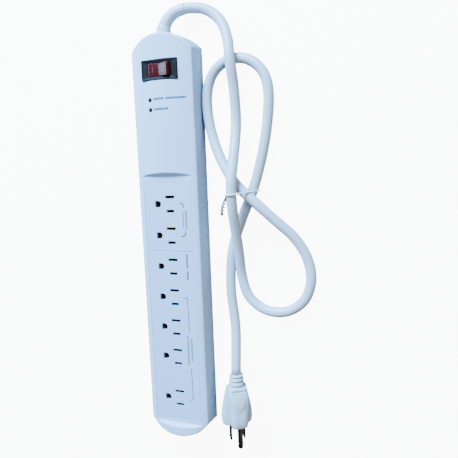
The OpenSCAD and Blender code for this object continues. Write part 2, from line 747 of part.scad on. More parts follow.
// Rocker outline in X and Z about its pivot: two faces in a shallow V over a round bottom
module rocker_outline() {
    tip_x = rocker_r - 1.2;
    end_arc = rocker_r + 0.1;
    tip_a = acos(tip_x / end_arc);
    tip_z = end_arc * sin(tip_a);
    mid_z = tip_z - tip_x * tan(rocker_tilt);
    right = [for (a = [tip_a:-tip_a / 6:-eps]) end_arc * [cos(a), sin(a)]];
    left = [for (k = [len(right) - 1:-1:0]) [-right[k][0], right[k][1]]];
    polygon(concat([[0, mid_z]], right, [[rocker_r - 1.2, -2.4], [2.2, -4.2], [1.2, -7],
        [-1.2, -7], [-2.2, -4.2], [1.2 - rocker_r, -2.4]], left));
}

module rocker() {
    color("#b3202c") translate([0, switch_y, pivot_z]) rotate([0, -rocker_tilt, 0]) {
        rotate([90, 0, 0]) linear_extrude(height = rocker_w, center = true) rocker_outline();
        rotate([90, 0, 0]) cylinder(r = pivot_r, h = rocker_w + 2.2, center = true, $fn = 48);
    }
}

module switch_terminals() {
    color("#c9a24a") for (x = [-9, -3, 3, 9])
        block(x, switch_y, housing_z - 4.4, [0.8, 6.3, 4.4]);
}

// An insulated lead, its two ends square to the strip's length
module lead(route) {
    tube(smooth(route, 2), lead_d, 8, start = [0, -1, 0], stop = [0, -1, 0]);
}

module line_lead() {
    color("#1d1f22") lead(LINE);
}

module neutral_lead() {
    color("#f0f0ec") lead(NEUTRAL);
}

module ground_lead() {
    color("#2e8b4f") lead(GROUND);
}

module switch_lead() {
    color("#a02830") lead(SWITCH);
}

module always_on_lead() {
    color("#a02830") lead(ALWAYS_ON);
}

module control_lead() {
    color("#1d1f22") lead(CONTROL);
}

module switched_lead() {
    color("#2e8b4f") lead(SWITCHED);
}

// Pan head screws, driven from below through the base into the cover's posts
module case_screws() {
    color("#8d949c") for (p = SCREWS) translate([p[0], p[1], 0.8]) difference() {
        union() {
            cylinder(r = head_r, h = head_h, $fn = 48);
            cylinder(r = screw_r - 0.02, h = post_split + screw_bite, $fn = 32);
        }
        for (a = [0, 90]) rotate([0, 0, a]) block(0, 0, -eps, [0.7, 3.2, 0.7]);
    }
}

// Moulded strain relief: inner flange, neck through the end wall, and a bent tapering boot
module cord_gland() {
    color("#dbe6f2") {
        translate([0, end_y - gland_in + 3, gland_z]) rotate([-90, 0, 0]) {
            cylinder(r = gland_r + 2, h = 3, $fn = 64);
            cylinder(r = gland_r, h = gland_in - 5, $fn = 64);
        }
        translate([0, end_y - gland_in, gland_z]) rotate([-90, 0, 0])
            cylinder(r = cord_d / 2, h = 4, $fn = 48);
        tube(smooth(boot_path, 2), 2 * gland_r - 0.6, 24, cord_d + 1.4, stop = join_dir);
    }
}

module cord() {
    color("#d3deec") tube(CORD, cord_d, 12, start = join_dir, stop = [0, -1, 0]);
}

module twist_tie() {
    color("#eef2f6") tube(TIE, tie_d, 6, 0, [-0.5, 1, -0.6]);
}

// Puts a piece in the plug's own place: face towards -Y, rolled about its axis
module plug_place() {
    translate(PLUG) rotate([0, plug_roll, 0]) children();
}

// Rounded triangular section of the plug body, wide at the blades
module plug_section(k, h) {
    rotate([-90, 0, 0]) linear_extrude(height = h) hull() {
        for (s = [-1, 1]) translate([s * (plug_w / 2 - 6) * k, 3.4 * k])
            circle(r = 6 * k, $fn = 32);
        translate([0, -5.6 * k]) circle(r = 7.4 * k, $fn = 32);
    }
}

module plug_body() {
    color("#d3deec") plug_place() {
        hull() {
            plug_section(0.9, 1);
            translate([0, 3, 0]) plug_section(1, plug_l * 0.3);
            translate([0, plug_l - 3, 0]) plug_section(0.66, 3);
        }
        translate([0, plug_l - eps, 0]) rotate([-90, 0, 0]) {
            cylinder(r = cord_d / 2 + 0.6, h = relief_l, $fn = 48);
            for (i = [0:2]) translate([0, 0, 1.6 + 3.8 * i])
                cylinder(r1 = 7 - 0.4 * i, r2 = 6.4 - 0.4 * i, h = 2.4, $fn = 48);
        }
    }
}

// A flat blade with a rounded, chamfered tip and a hole
module plug_blade(u) {
    plug_place() translate([u, 0, blade_v]) difference() {
        union() {
            block(0, -blade_l / 2 + 0.7, -blade_w / 2, [blade_t, blade_l - 1.4, blade_w]);
            block(0, -blade_l / 2, -blade_w / 2 + 0.8, [blade_t * 0.6, blade_l, blade_w - 1.6]);
        }
        translate([0, -blade_l + 4.4, 0]) rotate([0, 90, 0])
            cylinder(r = 1.5, h = 4, center = true, $fn = 32);
    }
}

module line_blade() {
    color("#6d6a62") plug_blade(blade_gap / 2);
}

module neutral_blade() {
    color("#6d6a62") plug_blade(-blade_gap / 2);
}

module ground_pin() {
    color("#6d6a62") plug_place() translate([0, 0, pin_v]) rotate([90, 0, 0]) {
        cylinder(r = pin_r, h = pin_l - pin_r, $fn = 48);
        translate([0, 0, pin_l - pin_r]) sphere(r = pin_r, $fn = 48);
    }
}

top_cover();
base_shell();
outlet_panel();
neutral_bus();
always_on_bus();
control_bus();
switched_bus();
ground_bus();
circuit_board();
varistors();
relay();
current_sensor();
filter_capacitor();
thermal_fuse();
protection_lamp();
ground_lamp();
switch_housing();
rocker();
switch_terminals();
line_lead();
neutral_lead();
ground_lead();
switch_lead();
always_on_lead();
control_lead();
switched_lead();
case_screws();
cord_gland();
cord();
twist_tie();
plug_body();
line_blade();
neutral_blade();
ground_pin();
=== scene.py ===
import math

import bpy
import numpy as np
from bpy.props import FloatProperty, FloatVectorProperty, IntProperty, PointerProperty
from mathutils import Matrix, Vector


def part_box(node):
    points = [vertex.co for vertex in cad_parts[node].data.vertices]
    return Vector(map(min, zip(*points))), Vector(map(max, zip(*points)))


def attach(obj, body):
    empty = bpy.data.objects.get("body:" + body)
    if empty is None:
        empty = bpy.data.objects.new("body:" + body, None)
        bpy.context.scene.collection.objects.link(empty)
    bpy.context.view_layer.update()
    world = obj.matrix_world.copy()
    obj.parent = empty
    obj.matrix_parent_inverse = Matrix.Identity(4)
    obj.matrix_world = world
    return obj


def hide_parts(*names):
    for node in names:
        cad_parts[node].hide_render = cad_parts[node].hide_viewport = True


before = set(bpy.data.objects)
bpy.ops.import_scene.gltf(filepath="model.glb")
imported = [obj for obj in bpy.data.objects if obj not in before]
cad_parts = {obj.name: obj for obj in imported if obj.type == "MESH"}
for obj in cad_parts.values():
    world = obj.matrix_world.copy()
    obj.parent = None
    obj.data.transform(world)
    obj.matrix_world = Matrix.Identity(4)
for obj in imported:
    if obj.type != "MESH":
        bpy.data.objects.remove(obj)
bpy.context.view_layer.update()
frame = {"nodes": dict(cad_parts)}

bl_info = {
    "name": "Surge protector power strip",
    "version": (1, 0, 0),
    "blender": (4, 5, 0),
    "location": "3D View > Sidebar > Power strip",
    "description": "Dresses a power strip: cord, plug, case, switch, lamps and printed marks",
    "category": "Object",
}

MM = 0.001


def corner(node, which):
    """Lowest (0) or highest (1) corner of a CAD node, in millimetres."""
    return np.array(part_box(node)[which]) / MM


def linear(hex_colour):
    """An sRGB hex colour as linear red, green, blue and 1 for the shader."""
    value = np.array([int(hex_colour[i:i + 2], 16) for i in (1, 3, 5)]) / 255
    value = np.where(value <= 0.04045, value / 12.92, ((value + 0.055) / 1.055) ** 2.4)
    return (*value.tolist(), 1.0)


# The case in millimetres, read from the CAD model's nodes
HALF_W, END_Y = corner("base_shell", 1)[:2]
SEAM_Z, CROWN_TOP = corner("top_cover", 0)[2], corner("top_cover", 1)[2]
PANEL_MIN, PANEL_MAX = corner("outlet_panel", 0), corner("outlet_panel", 1)
FACE_Z = PANEL_MAX[2]
# The margin beside the hood's crown, and the radii of the case's ends and of the top's edge
RAIL, END_R, ROUND = 5.7, 40.0, 2.0
# The walls lean in by 1 mm up to the face. The slopes at the ends of the recess are steeper
LEAN, SLOPE = math.atan(1 / FACE_Z), math.radians(50)
# How far the panel reaches under the cover at its sides and ends, and the rim beyond its ends
FLANGE_SIDE, FLANGE_END, RIM = 0.7, 2.6, 4.2
END_C = END_Y - END_R
CROWN_RISE = CROWN_TOP - FACE_Z
CROWN_R = ((HALF_W - RAIL) ** 2 + CROWN_RISE ** 2) / (2 * CROWN_RISE)
PANEL_HALF = PANEL_MAX[0] - FLANGE_SIDE
PANEL_LOW, PANEL_HIGH = PANEL_MIN[1] + FLANGE_END, PANEL_MAX[1] - FLANGE_END
LEVEL_LOW, LEVEL_HIGH = PANEL_LOW - RIM, PANEL_HIGH + RIM

# The switch, the lamps and the cord's hole in millimetres
BEZEL_MIN, BEZEL_MAX = corner("switch_housing", 0), corner("switch_housing", 1)
SWITCH_Y, BEZEL_Z = (BEZEL_MIN[1] + BEZEL_MAX[1]) / 2, BEZEL_MAX[2]
BEZEL_HALF = (BEZEL_MAX - BEZEL_MIN)[:2] / 2
SWITCH_HOLE = BEZEL_HALF + 0.1
PIVOT_Z = BEZEL_Z - 4.1
LAMPS = [(corner(node, 0) + corner(node, 1))[:2] / 2 for node in ("ground_lamp", "protection_lamp")]
LAMP_HOLE, GLAND_Z, GLAND_HOLE = 1.9, 12.6, 6.45
# Half side of the square round a lamp in which rings take the place of the cover's grid
LAMP_FIELD = 2.7
# Slope of the rocker's two faces. It rests tilted by as much, so that one of them is level
ROCKER_TILT = math.radians(10)

# The strain relief bends from the end wall to where the cord leaves it, in metres
BOOT = np.array([
    (0.0, 0.1806, 0.0126), (0.0, 0.185, 0.0126), (0.0012, 0.1902, 0.0122),
    (0.0048, 0.1958, 0.0116), (0.011, 0.2006, 0.0104), (0.020, 0.203, 0.009)])

# The cord's route over the floor, in metres, the same points as the CAD model's
CORD_ROUTE = np.array([
    (0.02, 0.203, 0.009), (0.0365, 0.201, 0.006), (0.0503, 0.1903, 0.0062),
    (0.0578, 0.174, 0.0108), (0.0608, 0.1555, 0.0146), (0.062, 0.132, 0.0104),
    (0.0623, 0.103, 0.0088), (0.0622, 0.075, 0.018), (0.0619, 0.054, 0.0252),
    (0.0617, 0.034, 0.0238), (0.0616, 0.014, 0.0174), (0.0616, -0.007, 0.0102),
    (0.0618, -0.0285, 0.0052), (0.0676, -0.0478, 0.0046), (0.0833, -0.0598, 0.0046),
    (0.1027, -0.0598, 0.0046), (0.1183, -0.0483, 0.0046), (0.1242, -0.0296, 0.0046),
    (0.1206, -0.0105, 0.005), (0.1105, 0.0065, 0.0074), (0.0965, 0.0205, 0.0116),
    (0.0805, 0.036, 0.0154), (0.0625, 0.053, 0.0152), (0.048, 0.074, 0.0101),
    (0.0393, 0.094, 0.0058), (0.0354, 0.1125, 0.0047), (0.0353, 0.131, 0.0046),
    (0.041, 0.1472, 0.0046), (0.0546, 0.1572, 0.0046), (0.0713, 0.1572, 0.0046),
    (0.0848, 0.1472, 0.0046), (0.0904, 0.1308, 0.0046), (0.089, 0.105, 0.0046),
    (0.0838, 0.077, 0.005), (0.0754, 0.048, 0.0062), (0.064, 0.0225, 0.005),
    (0.0536, -0.007, 0.0046), (0.0508, -0.042, 0.0046), (0.0546, -0.078, 0.0064),
    (0.056, -0.119, 0.0134)])
# The middle of the plug's face in millimetres, and how far the plug lies rolled to one side
PLUG, PLUG_ROLL = np.array((56.0, -167.0, 13.4)), math.radians(33)

# The photograph's width and the lens's focal length in pixels, and the camera's sensor in mm
PHOTO_WIDTH, FOCAL, SENSOR = 458, 501.17, 36
# The camera's place in metres, and its directions right, up and back
CAMERA_AT = (0.20839, 0.07305, 0.41897)
CAMERA_AXES = ((0.9358, -0.0365, -0.3505), (-0.0137, 0.9901, -0.1397), (0.3522, 0.1356, 0.9261))
# Each light's name, place, size, power and colour. All of them face the strip's middle
LIGHT_AIM = (0.03, 0, 0)
LIGHTS = (("window_light", (-1.75, 0.6, 0.85), 0.9, 55, "#A2CEFF"),
          ("top_light", (-0.4, 1.7, 1.25), 1.0, 345, "#A2CEFF"),
          ("fill_light", (1.3, -0.2, 1.0), 1.2, 11, "#FFE8CC"))
FLOOR_HALF = 2.5


class StripSizes(bpy.types.PropertyGroup):
    """Sizes of the dressed parts."""

    cord_diameter: FloatProperty(
        name="Cord diameter", description="Width of the round cord", default=0.009,
        min=0.006, max=0.011, unit="LENGTH", subtype="DISTANCE")
    bezel_rounding: FloatProperty(
        name="Bezel rounding", description="Radius of the switch frame's upper edge",
        default=0.0005, min=0.0001, max=0.001, unit="LENGTH", subtype="DISTANCE")
    edge_rounding: FloatProperty(
        name="Edge rounding", description="Radius of the fine edges of moulded parts",
        default=0.0003, min=0.0001, max=0.0008, unit="LENGTH", subtype="DISTANCE")
    ink_thickness: FloatProperty(
        name="Ink thickness", description="How far the printed marks stand on the plastic",
        default=0.00004, min=0.00002, max=0.0001, unit="LENGTH", subtype="DISTANCE")
    tie_diameter: FloatProperty(
        name="Tie thickness", description="Width of the coated wire tie", default=0.0013,
        min=0.0008, max=0.002, unit="LENGTH", subtype="DISTANCE")
    cord_sides: IntProperty(
        name="Cord sides", description="Faces round the cord's section", default=24,
        min=12, max=48)


class StripColours(bpy.types.PropertyGroup):
    """Colours of the finishes."""

    case: FloatVectorProperty(
        name="Case", description="Moulded cover of the strip", default=linear("#A9C8E4"),
        size=4, min=0, max=1, subtype="COLOR")
    panel: FloatVectorProperty(
        name="Outlet panel", description="Moulded panel that holds the outlets",
        default=linear("#A0BFDE"), size=4, min=0, max=1, subtype="COLOR")
    cord: FloatVectorProperty(
        name="Cord", description="Jacket of the cord and the plug's moulding",
        default=linear("#B2C6D2"), size=4, min=0, max=1, subtype="COLOR")
    rocker: FloatVectorProperty(
        name="Rocker", description="Clear red plastic of the switch rocker",
        default=linear("#42080A"), size=4, min=0, max=1, subtype="COLOR")
    frame: FloatVectorProperty(
        name="Switch frame", description="Black frame of the switch",
        default=linear("#100D0C"), size=4, min=0, max=1, subtype="COLOR")
    floor: FloatVectorProperty(
        name="Floor", description="Light that the paper floor throws back on the strip",
        default=linear("#9C988E"), size=4, min=0, max=1, subtype="COLOR")


def grid(rows, cols, closed=False):
    """Quads of a rows by cols grid of points, numbered row by row. closed joins the last column
    to the first. Also gives each corner's place on the grid, 0 to 1 both ways."""
    across = cols if closed else cols - 1
    i, k = np.indices((rows - 1, across)).reshape(2, -1)
    corners = ((0, 0), (0, 1), (1, 1), (1, 0))
    quads = np.stack([(i + a) * cols + (k + b) % cols for a, b in corners], axis=1)
    place = np.stack([np.column_stack([k + b, i + a]) for a, b in corners], axis=1)
    return quads, place / [across, rows - 1]


def piece(name, points, quads, tris=(), place=None, finish=None, body="strip"):
    """A new smooth surface from points in millimetres, of which it keeps those that its faces
    use. place holds each quad corner's UV."""
    faces = np.concatenate([np.ravel(quads), np.ravel(tris)]).astype(int)
    used, faces = np.unique(faces, return_inverse=True)
    quads, tris = faces[:np.size(quads)], faces[np.size(quads):]
    mesh = bpy.data.meshes.new(name)
    mesh.from_pydata((points[used] * MM).tolist(), [],
                     quads.reshape(-1, 4).tolist() + tris.reshape(-1, 3).tolist())
    uv = np.zeros((faces.size, 2))
    if place is not None:
        uv[:quads.size] = place.reshape(-1, 2)
    mesh.uv_layers.new(name="UVMap").data.foreach_set("uv", uv.ravel())
    mesh.polygons.foreach_set("use_smooth", np.ones(len(mesh.polygons), bool))
    mesh.update()
    mesh.materials.append(finish)
    obj = bpy.data.objects.new(name, mesh)
    bpy.context.scene.collection.objects.link(obj)
    if body:
        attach(obj, body)
    return obj


def loft(rings, cap_start=True, cap_end=True):
    """A closed skin over rings of points: rows run from ring to ring, columns round each ring,
    and each end is closed to the middle of its ring. Gives what piece takes after its name."""
    rings = np.asarray(rings, float)
    rows, cols = rings.shape[:2]
    quads, place = grid(rows, cols, closed=True)
    points, tris = [rings.reshape(-1, 3)], []
    ids = np.arange(rows * cols).reshape(rows, cols)
    for wanted, ring in ((cap_start, ids[0, ::-1]), (cap_end, ids[-1])):
        if wanted:
            middle = np.full(cols, ids.size + len(tris))
            tris.append(np.column_stack([middle, ring, np.roll(ring, -1)]))
            points.append(points[0][ring].mean(0)[None])
    return np.vstack(points), quads, np.vstack(tris) if tris else (), place


def joined(parts):
    """Several lofts as one: the faces of each count on from the points before it."""
    points, quads, tris, places = zip(*parts)
    starts = np.cumsum([0, *map(len, points)])
    return (np.vstack(points), np.vstack([q + n for q, n in zip(quads, starts)]),
            np.vstack([t + n for t, n in zip(tris, starts)]), np.vstack(places))


def unit(vectors):
    """Vectors scaled to a length of one."""
    return vectors / np.linalg.norm(vectors, axis=-1, keepdims=True)


def eased(share):
    """Smooth step from 0 to 1: three times the share's square less twice its cube."""
    share = np.clip(share, 0, 1)
    return share ** 2 * (3 - 2 * share)


def curve(points, steps):
    """A smooth curve through points: between two of them it is the cubic whose slope at each
    is half the step from the point before to the point after."""
    p = np.asarray(points, float)
    a, b, c, d = np.vstack([p[:1], p[:-2]]), p[:-1], p[1:], np.vstack([p[2:], p[-1:]])
    t = (np.arange(steps) / steps)[:, None, None]
    q = (2 * b + (c - a) * t + (2 * a - 5 * b + 4 * c - d) * t ** 2
         + (3 * b - a - 3 * c + d) * t ** 3) / 2
    return np.vstack([q.transpose(1, 0, 2).reshape(-1, 3), p[-1:]])


def along(path):
    """Distance run along a path at each of its points."""
    return np.concatenate([[0], np.cumsum(np.linalg.norm(np.diff(path, axis=0), axis=1))])


def circle(count):
    """Cosine and sine of evenly spaced angles, once round."""
    angle = np.linspace(0, 2 * np.pi, count, endpoint=False)
    return np.column_stack([np.cos(angle), np.sin(angle)])


def sweep(path, radius, sides, ref=(0, 0, 1)):
    """Rings of a tube: each point is the path's point plus the radius times the cosine of the
    angle along side plus its sine along up. side is the heading crossed with ref, and up is the
    heading crossed with side."""
    heading = unit(np.gradient(path, axis=0))
    side = unit(np.cross(heading, ref))
    up = np.cross(heading, side)
    radius = np.broadcast_to(np.asarray(radius, float), len(path))[:, None, None]
    turn = circle(sides)
    return path[:, None] + radius * (turn[:, :1] * side[:, None] + turn[:, 1:] * up[:, None])


def rounded_loop(half_x, half_y, radius, z=0.0):
    """Points round a level rectangle with rounded corners, anticlockwise: each corner is a
    quarter circle of nine points about its own middle."""
    turn, step = np.indices((4, 9)).reshape(2, -1)
    angle = (turn + step / 8) * np.pi / 2
    right, back = np.where(turn % 3 == 0, 1, -1), np.where(turn < 2, 1, -1)
    return np.column_stack([right * (half_x - radius) + radius * np.cos(angle),
                            back * (half_y - radius) + radius * np.sin(angle),
                            np.full(angle.size, z)])


def crown_at(x):
    """Height of the crowned hood: a circle arc across the strip."""
    return CROWN_TOP - CROWN_R + np.sqrt(CROWN_R ** 2 - np.asarray(x, float) ** 2)


def softer(a, b, blend):
    """The lower of two values, rounded over with a parabola where they differ by less than
    blend. Also gives the share of a."""
    share = np.clip(0.5 + (b - a) / (2 * blend), 0, 1)
    return b + (a - b) * share - blend * share * (1 - share), share


def on_top(flat):
    """Points of the cover's top over X and Y. Its height is the crown's, cut down to the level
    face between two slopes that start gently at the face and steepen towards the crown, with
    the edges rounded over."""
    x, y = flat[:, 0], flat[:, 1]
    out = np.maximum(np.maximum(y - LEVEL_HIGH, LEVEL_LOW - y), 0)
    run = CROWN_RISE / math.tan(SLOPE)
    scoop = 0.35 * out + 0.65 * out ** 2 / run
    recess = FACE_Z + scoop * CROWN_RISE / run
    return np.column_stack([flat, softer(crown_at(x), recess, 0.4)[0]])


def nearest(values, *places):
    """Index of the value closest to each place."""
    return [int(np.abs(values - at).argmin()) for at in places]


def edge_of(ids, a0, a1, b0, b1):
    """Point numbers round a block of a grid: along its first row, up its last column, back
    along its last row and down its first column."""
    return np.concatenate([ids[a0, b0:b1], ids[a0:a1, b1], ids[a1, b1:b0:-1], ids[a1:a0:-1, b0]])


def round_hole(outer, flat, centre, radius, count):
    """Rings between a block's edge and a round hole: each point moves in a straight line from
    its place on the edge to the hole, in four steps. count is the number of their first point."""
    hole = centre + radius * unit(flat - centre)
    share = np.array([0.25, 0.5, 0.75, 1])[:, None, None]
    rings = flat * (1 - share) + hole * share
    ids = np.vstack([outer, count + np.arange(rings[..., 0].size).reshape(4, -1)])
    return rings.reshape(-1, 2), ids.ravel()[grid(*ids.shape, closed=True)[0]]


def feed(node, inputs):
    """Puts values or links into a node's inputs."""
    for key, value in inputs.items():
        if isinstance(value, bpy.types.NodeSocket):
            node.id_data.links.new(value, node.inputs[key])
        else:
            node.inputs[key].default_value = value


def add(finish, kind, settings=None, inputs=None):
    """Adds one node with its settings to a material, and feeds its inputs."""
    node = finish.node_tree.nodes.new(kind)
    for key, value in (settings or {}).items():
        setattr(node, key, value)
    feed(node, inputs or {})
    return node


def new_finish(name):
    """A material with only its shader, and the coordinates that its patterns read."""
    finish = bpy.data.materials.new(name)
    finish.use_nodes = True
    finish.node_tree.nodes.clear()
    shader = add(finish, "ShaderNodeBsdfPrincipled")
    add(finish, "ShaderNodeOutputMaterial", inputs={"Surface": shader.outputs[0]})
    return finish, add(finish, "ShaderNodeTexCoord").outputs


def surface(finish, tone, gloss=None, relief=None, levels=None, blend="MIX"):
    """Ties patterns to a shader: tone is a pattern and the colours at its ends, gloss a pattern
    and the roughness at its ends, relief a pattern, its strength and its depth in millimetres.
    levels are values that are the same all over."""
    inputs = dict(levels or {})
    inputs["Base Color"] = add(finish, "ShaderNodeMix", {"data_type": "RGBA", "blend_type": blend},
                               dict(zip((0, 6, 7), tone))).outputs[2]
    if gloss:
        inputs["Roughness"] = add(finish, "ShaderNodeMapRange", inputs=dict(
            zip(("Value", "To Min", "To Max"), gloss))).outputs[0]
    if relief:
        inputs["Normal"] = add(finish, "ShaderNodeBump", inputs={
            "Height": relief[0], "Strength": relief[1], "Distance": relief[2] * MM}).outputs[0]
    feed(finish.node_tree.nodes["Principled BSDF"], inputs)
    return finish


def per_metre(size_mm):
    """Noise scale at which one cell of the pattern is size_mm wide."""
    return 1 / (size_mm * MM)


def shade(colour, share):
    """A colour with its red, green and blue multiplied by share."""
    return (*[float(c) * share for c in list(colour)[:3]], 1.0)


def moulded(name, colour, rough, grain_mm, grain_share, ior=1.53, cloud_mm=45, cloud=0.95,
            depth_mm=0.02, specular=0.5):
    """A moulded plastic: slow cloudy changes of tone from the melt's flow, and an eroded mould
    texture that breaks up the gloss. The grain is drawn coarser than the real 0.1 mm so that it
    shows."""
    finish, place = new_finish(name)
    clouds = add(finish, "ShaderNodeTexNoise", inputs={
        "Vector": place["Object"], "Scale": per_metre(cloud_mm), "Detail": 3.0,
        "Roughness": 0.5}).outputs[0]
    grain = add(finish, "ShaderNodeTexNoise", inputs={
        "Vector": place["Object"], "Scale": per_metre(grain_mm), "Detail": 2.0,
        "Roughness": 0.6}).outputs[0]
    return surface(finish, (clouds, shade(colour, cloud), shade(colour, 1.0)),
                   (grain, rough - 0.06, rough + 0.06), (grain, grain_share, depth_mm),
                   {"IOR": ior, "Specular IOR Level": specular})


def jacket(name, colour, rough=0.42):
    """Soft PVC cord jacket, extruded: a low sheen, fine lines along the cord from the die, and
    slow waves of tone where it was pulled. The lines are drawn four times as far apart as real
    ones so that they show."""
    finish, place = new_finish(name)
    stretched = add(finish, "ShaderNodeMapping", inputs={
        "Vector": place["UV"], "Scale": (28.0, 6.0, 1.0)}).outputs[0]
    lines = add(finish, "ShaderNodeTexNoise", {"noise_dimensions": "2D"}, {
        "Vector": stretched, "Scale": 1.0, "Detail": 2.0}).outputs[0]
    waves = add(finish, "ShaderNodeTexNoise", inputs={
        "Vector": place["Object"], "Scale": per_metre(30), "Detail": 2.0}).outputs[0]
    return surface(finish, (waves, shade(colour, 0.93), shade(colour, 1.0)),
                   (lines, rough - 0.06, rough + 0.08), (lines, 0.18, 0.03), {"IOR": 1.52})


def metal(name, clean, dull, rough):
    """A plated or rolled metal: tarnish in soft spots 3 mm wide, duller and rougher than the
    clean metal between them, over a fine grain."""
    finish, place = new_finish(name)
    spots, grain = (add(finish, "ShaderNodeTexNoise", inputs={
        "Vector": place["Object"], "Scale": per_metre(size), "Detail": detail}).outputs[0]
        for size, detail in ((3.0, 4.0), (0.5, 2.0)))
    return surface(finish, (spots, linear(clean), linear(dull)),
                   (spots, rough - 0.08, rough + 0.12), (grain, 0.15, 0.02), {"Metallic": 1.0})


def ink(name, colour):
    """Pad printing ink: thin and satin, a little uneven where the pad laid less of it."""
    return moulded("pad_ink_" + name, linear(colour), 0.5, 0.6, 0.1, cloud_mm=1.5, cloud=0.75,
                   depth_mm=0.005)


def clear_red(name, colour):
    """Clear red polycarbonate of a lit rocker: light goes into it, so its depth is darker and
    its edges glow a little."""
    finish, place = new_finish(name)
    depth = add(finish, "ShaderNodeTexNoise", inputs={
        "Vector": place["Object"], "Scale": per_metre(4), "Detail": 2.0}).outputs[0]
    return surface(
        finish, (depth, shade(colour, 0.8), shade(colour, 1.15)), (depth, 0.26, 0.34),
        levels={"IOR": 1.58, "Specular IOR Level": 0.18, "Subsurface Weight": 0.1,
                "Subsurface Radius": (0.004, 0.0006, 0.0005), "Subsurface Scale": 0.6})


def laminate(name, colour):
    """Glass cloth laminate of the circuit board: a plain weave shows faintly through the green
    mask, its threads 0.6 mm apart."""
    finish, place = new_finish(name)
    weave = add(finish, "ShaderNodeTexChecker", inputs={
        "Vector": place["Object"], "Scale": per_metre(0.6), "Color1": colour,
        "Color2": shade(colour, 0.86)}).outputs[0]
    haze = add(finish, "ShaderNodeTexNoise", inputs={
        "Vector": place["Object"], "Scale": per_metre(8), "Detail": 2.0}).outputs[0]
    return surface(finish, (haze, weave, shade(colour, 1.1)),
                   levels={"Roughness": 0.3, "IOR": 1.55})


def round_edges(obj, width, angle):
    """Rounds the edges at which a surface turns by more than an angle in degrees."""
    rim = obj.modifiers.new("Bevel", "BEVEL")
    rim.width, rim.segments = width, 2
    rim.limit_method, rim.angle_limit = "ANGLE", math.radians(angle)
    rim.harden_normals = True


def dress(node, finish, bevel=0.0):
    """Gives a CAD node its finish, and rounds its fine edges where bevel is set: the loose
    triangles are welded first."""
    obj = frame["nodes"][node]
    if not obj.material_slots:
        obj.data.materials.append(finish)
    for place in obj.material_slots:
        place.material = finish
    if bevel:
        obj.modifiers.new("Weld", "WELD").merge_threshold = 0.00001
        round_edges(obj, bevel, 40)


class POWERSTRIP_OT_stage(bpy.types.Operator):
    """Sets up the camera, the pale floor and the soft studio light"""

    bl_idname = "power_strip.stage"
    bl_label = "Stage"

    def execute(self, context):
        scene = context.scene
        lens = bpy.data.cameras.new("camera")
        lens.sensor_fit, lens.sensor_width = "HORIZONTAL", SENSOR
        lens.lens = SENSOR * FOCAL / PHOTO_WIDTH
        lens.clip_start, lens.clip_end = 0.01, 20
        scene.camera = self.stand(scene, lens, CAMERA_AXES, CAMERA_AT)

        points = np.array([(-1, -1, 0), (1, -1, 0), (1, 1, 0), (-1, 1, 0)]) * FLOOR_HALF / MM
        floor = piece("floor", points, [(0, 1, 2, 3)], finish=self.paper(context), body=None)

        for name, at, size, power, tint in LIGHTS:
            lamp = bpy.data.lights.new(name, "AREA")
            lamp.shape, lamp.size, lamp.energy = "DISK", size, power
            lamp.color = linear(tint)[:3]
            back = unit(np.array(at) - LIGHT_AIM)
            side = unit(np.cross((0, 1, 0), back))
            self.stand(scene, lamp, (side, np.cross(back, side), back), at)
        world = bpy.data.worlds.new("studio")
        world.use_nodes = True
        feed(world.node_tree.nodes["Background"], {"Color": linear("#FFF4E4"), "Strength": 0.2})
        scene.world = world
        return {"FINISHED"}

    def stand(self, scene, data, axes, at):
        """Puts a camera or light in the scene, turned to its directions right, up and back."""
        obj = bpy.data.objects.new(data.name, data)
        scene.collection.objects.link(obj)
        obj.matrix_world = Matrix.Translation(at) @ Matrix(axes).transposed().to_4x4()
        return obj

    def paper(self, context):
        """White sweep paper, lit through from below for the eye alone, so that it stays nearly
        white round the strip and throws no extra light on it."""
        finish = moulded("sweep_paper", context.scene.strip_colours.floor, 0.85, 1.2, 0.1,
                         cloud_mm=300, cloud=0.985)
        sight = add(finish, "ShaderNodeLightPath")
        glow = add(finish, "ShaderNodeMath", {"operation": "MULTIPLY"}, {
            0: sight.outputs["Is Camera Ray"], 1: 10.0})
        feed(finish.node_tree.nodes["Principled BSDF"], {
            "Emission Strength": glow.outputs[0], "Emission Color": linear("#FFFFFF")})
        return finish


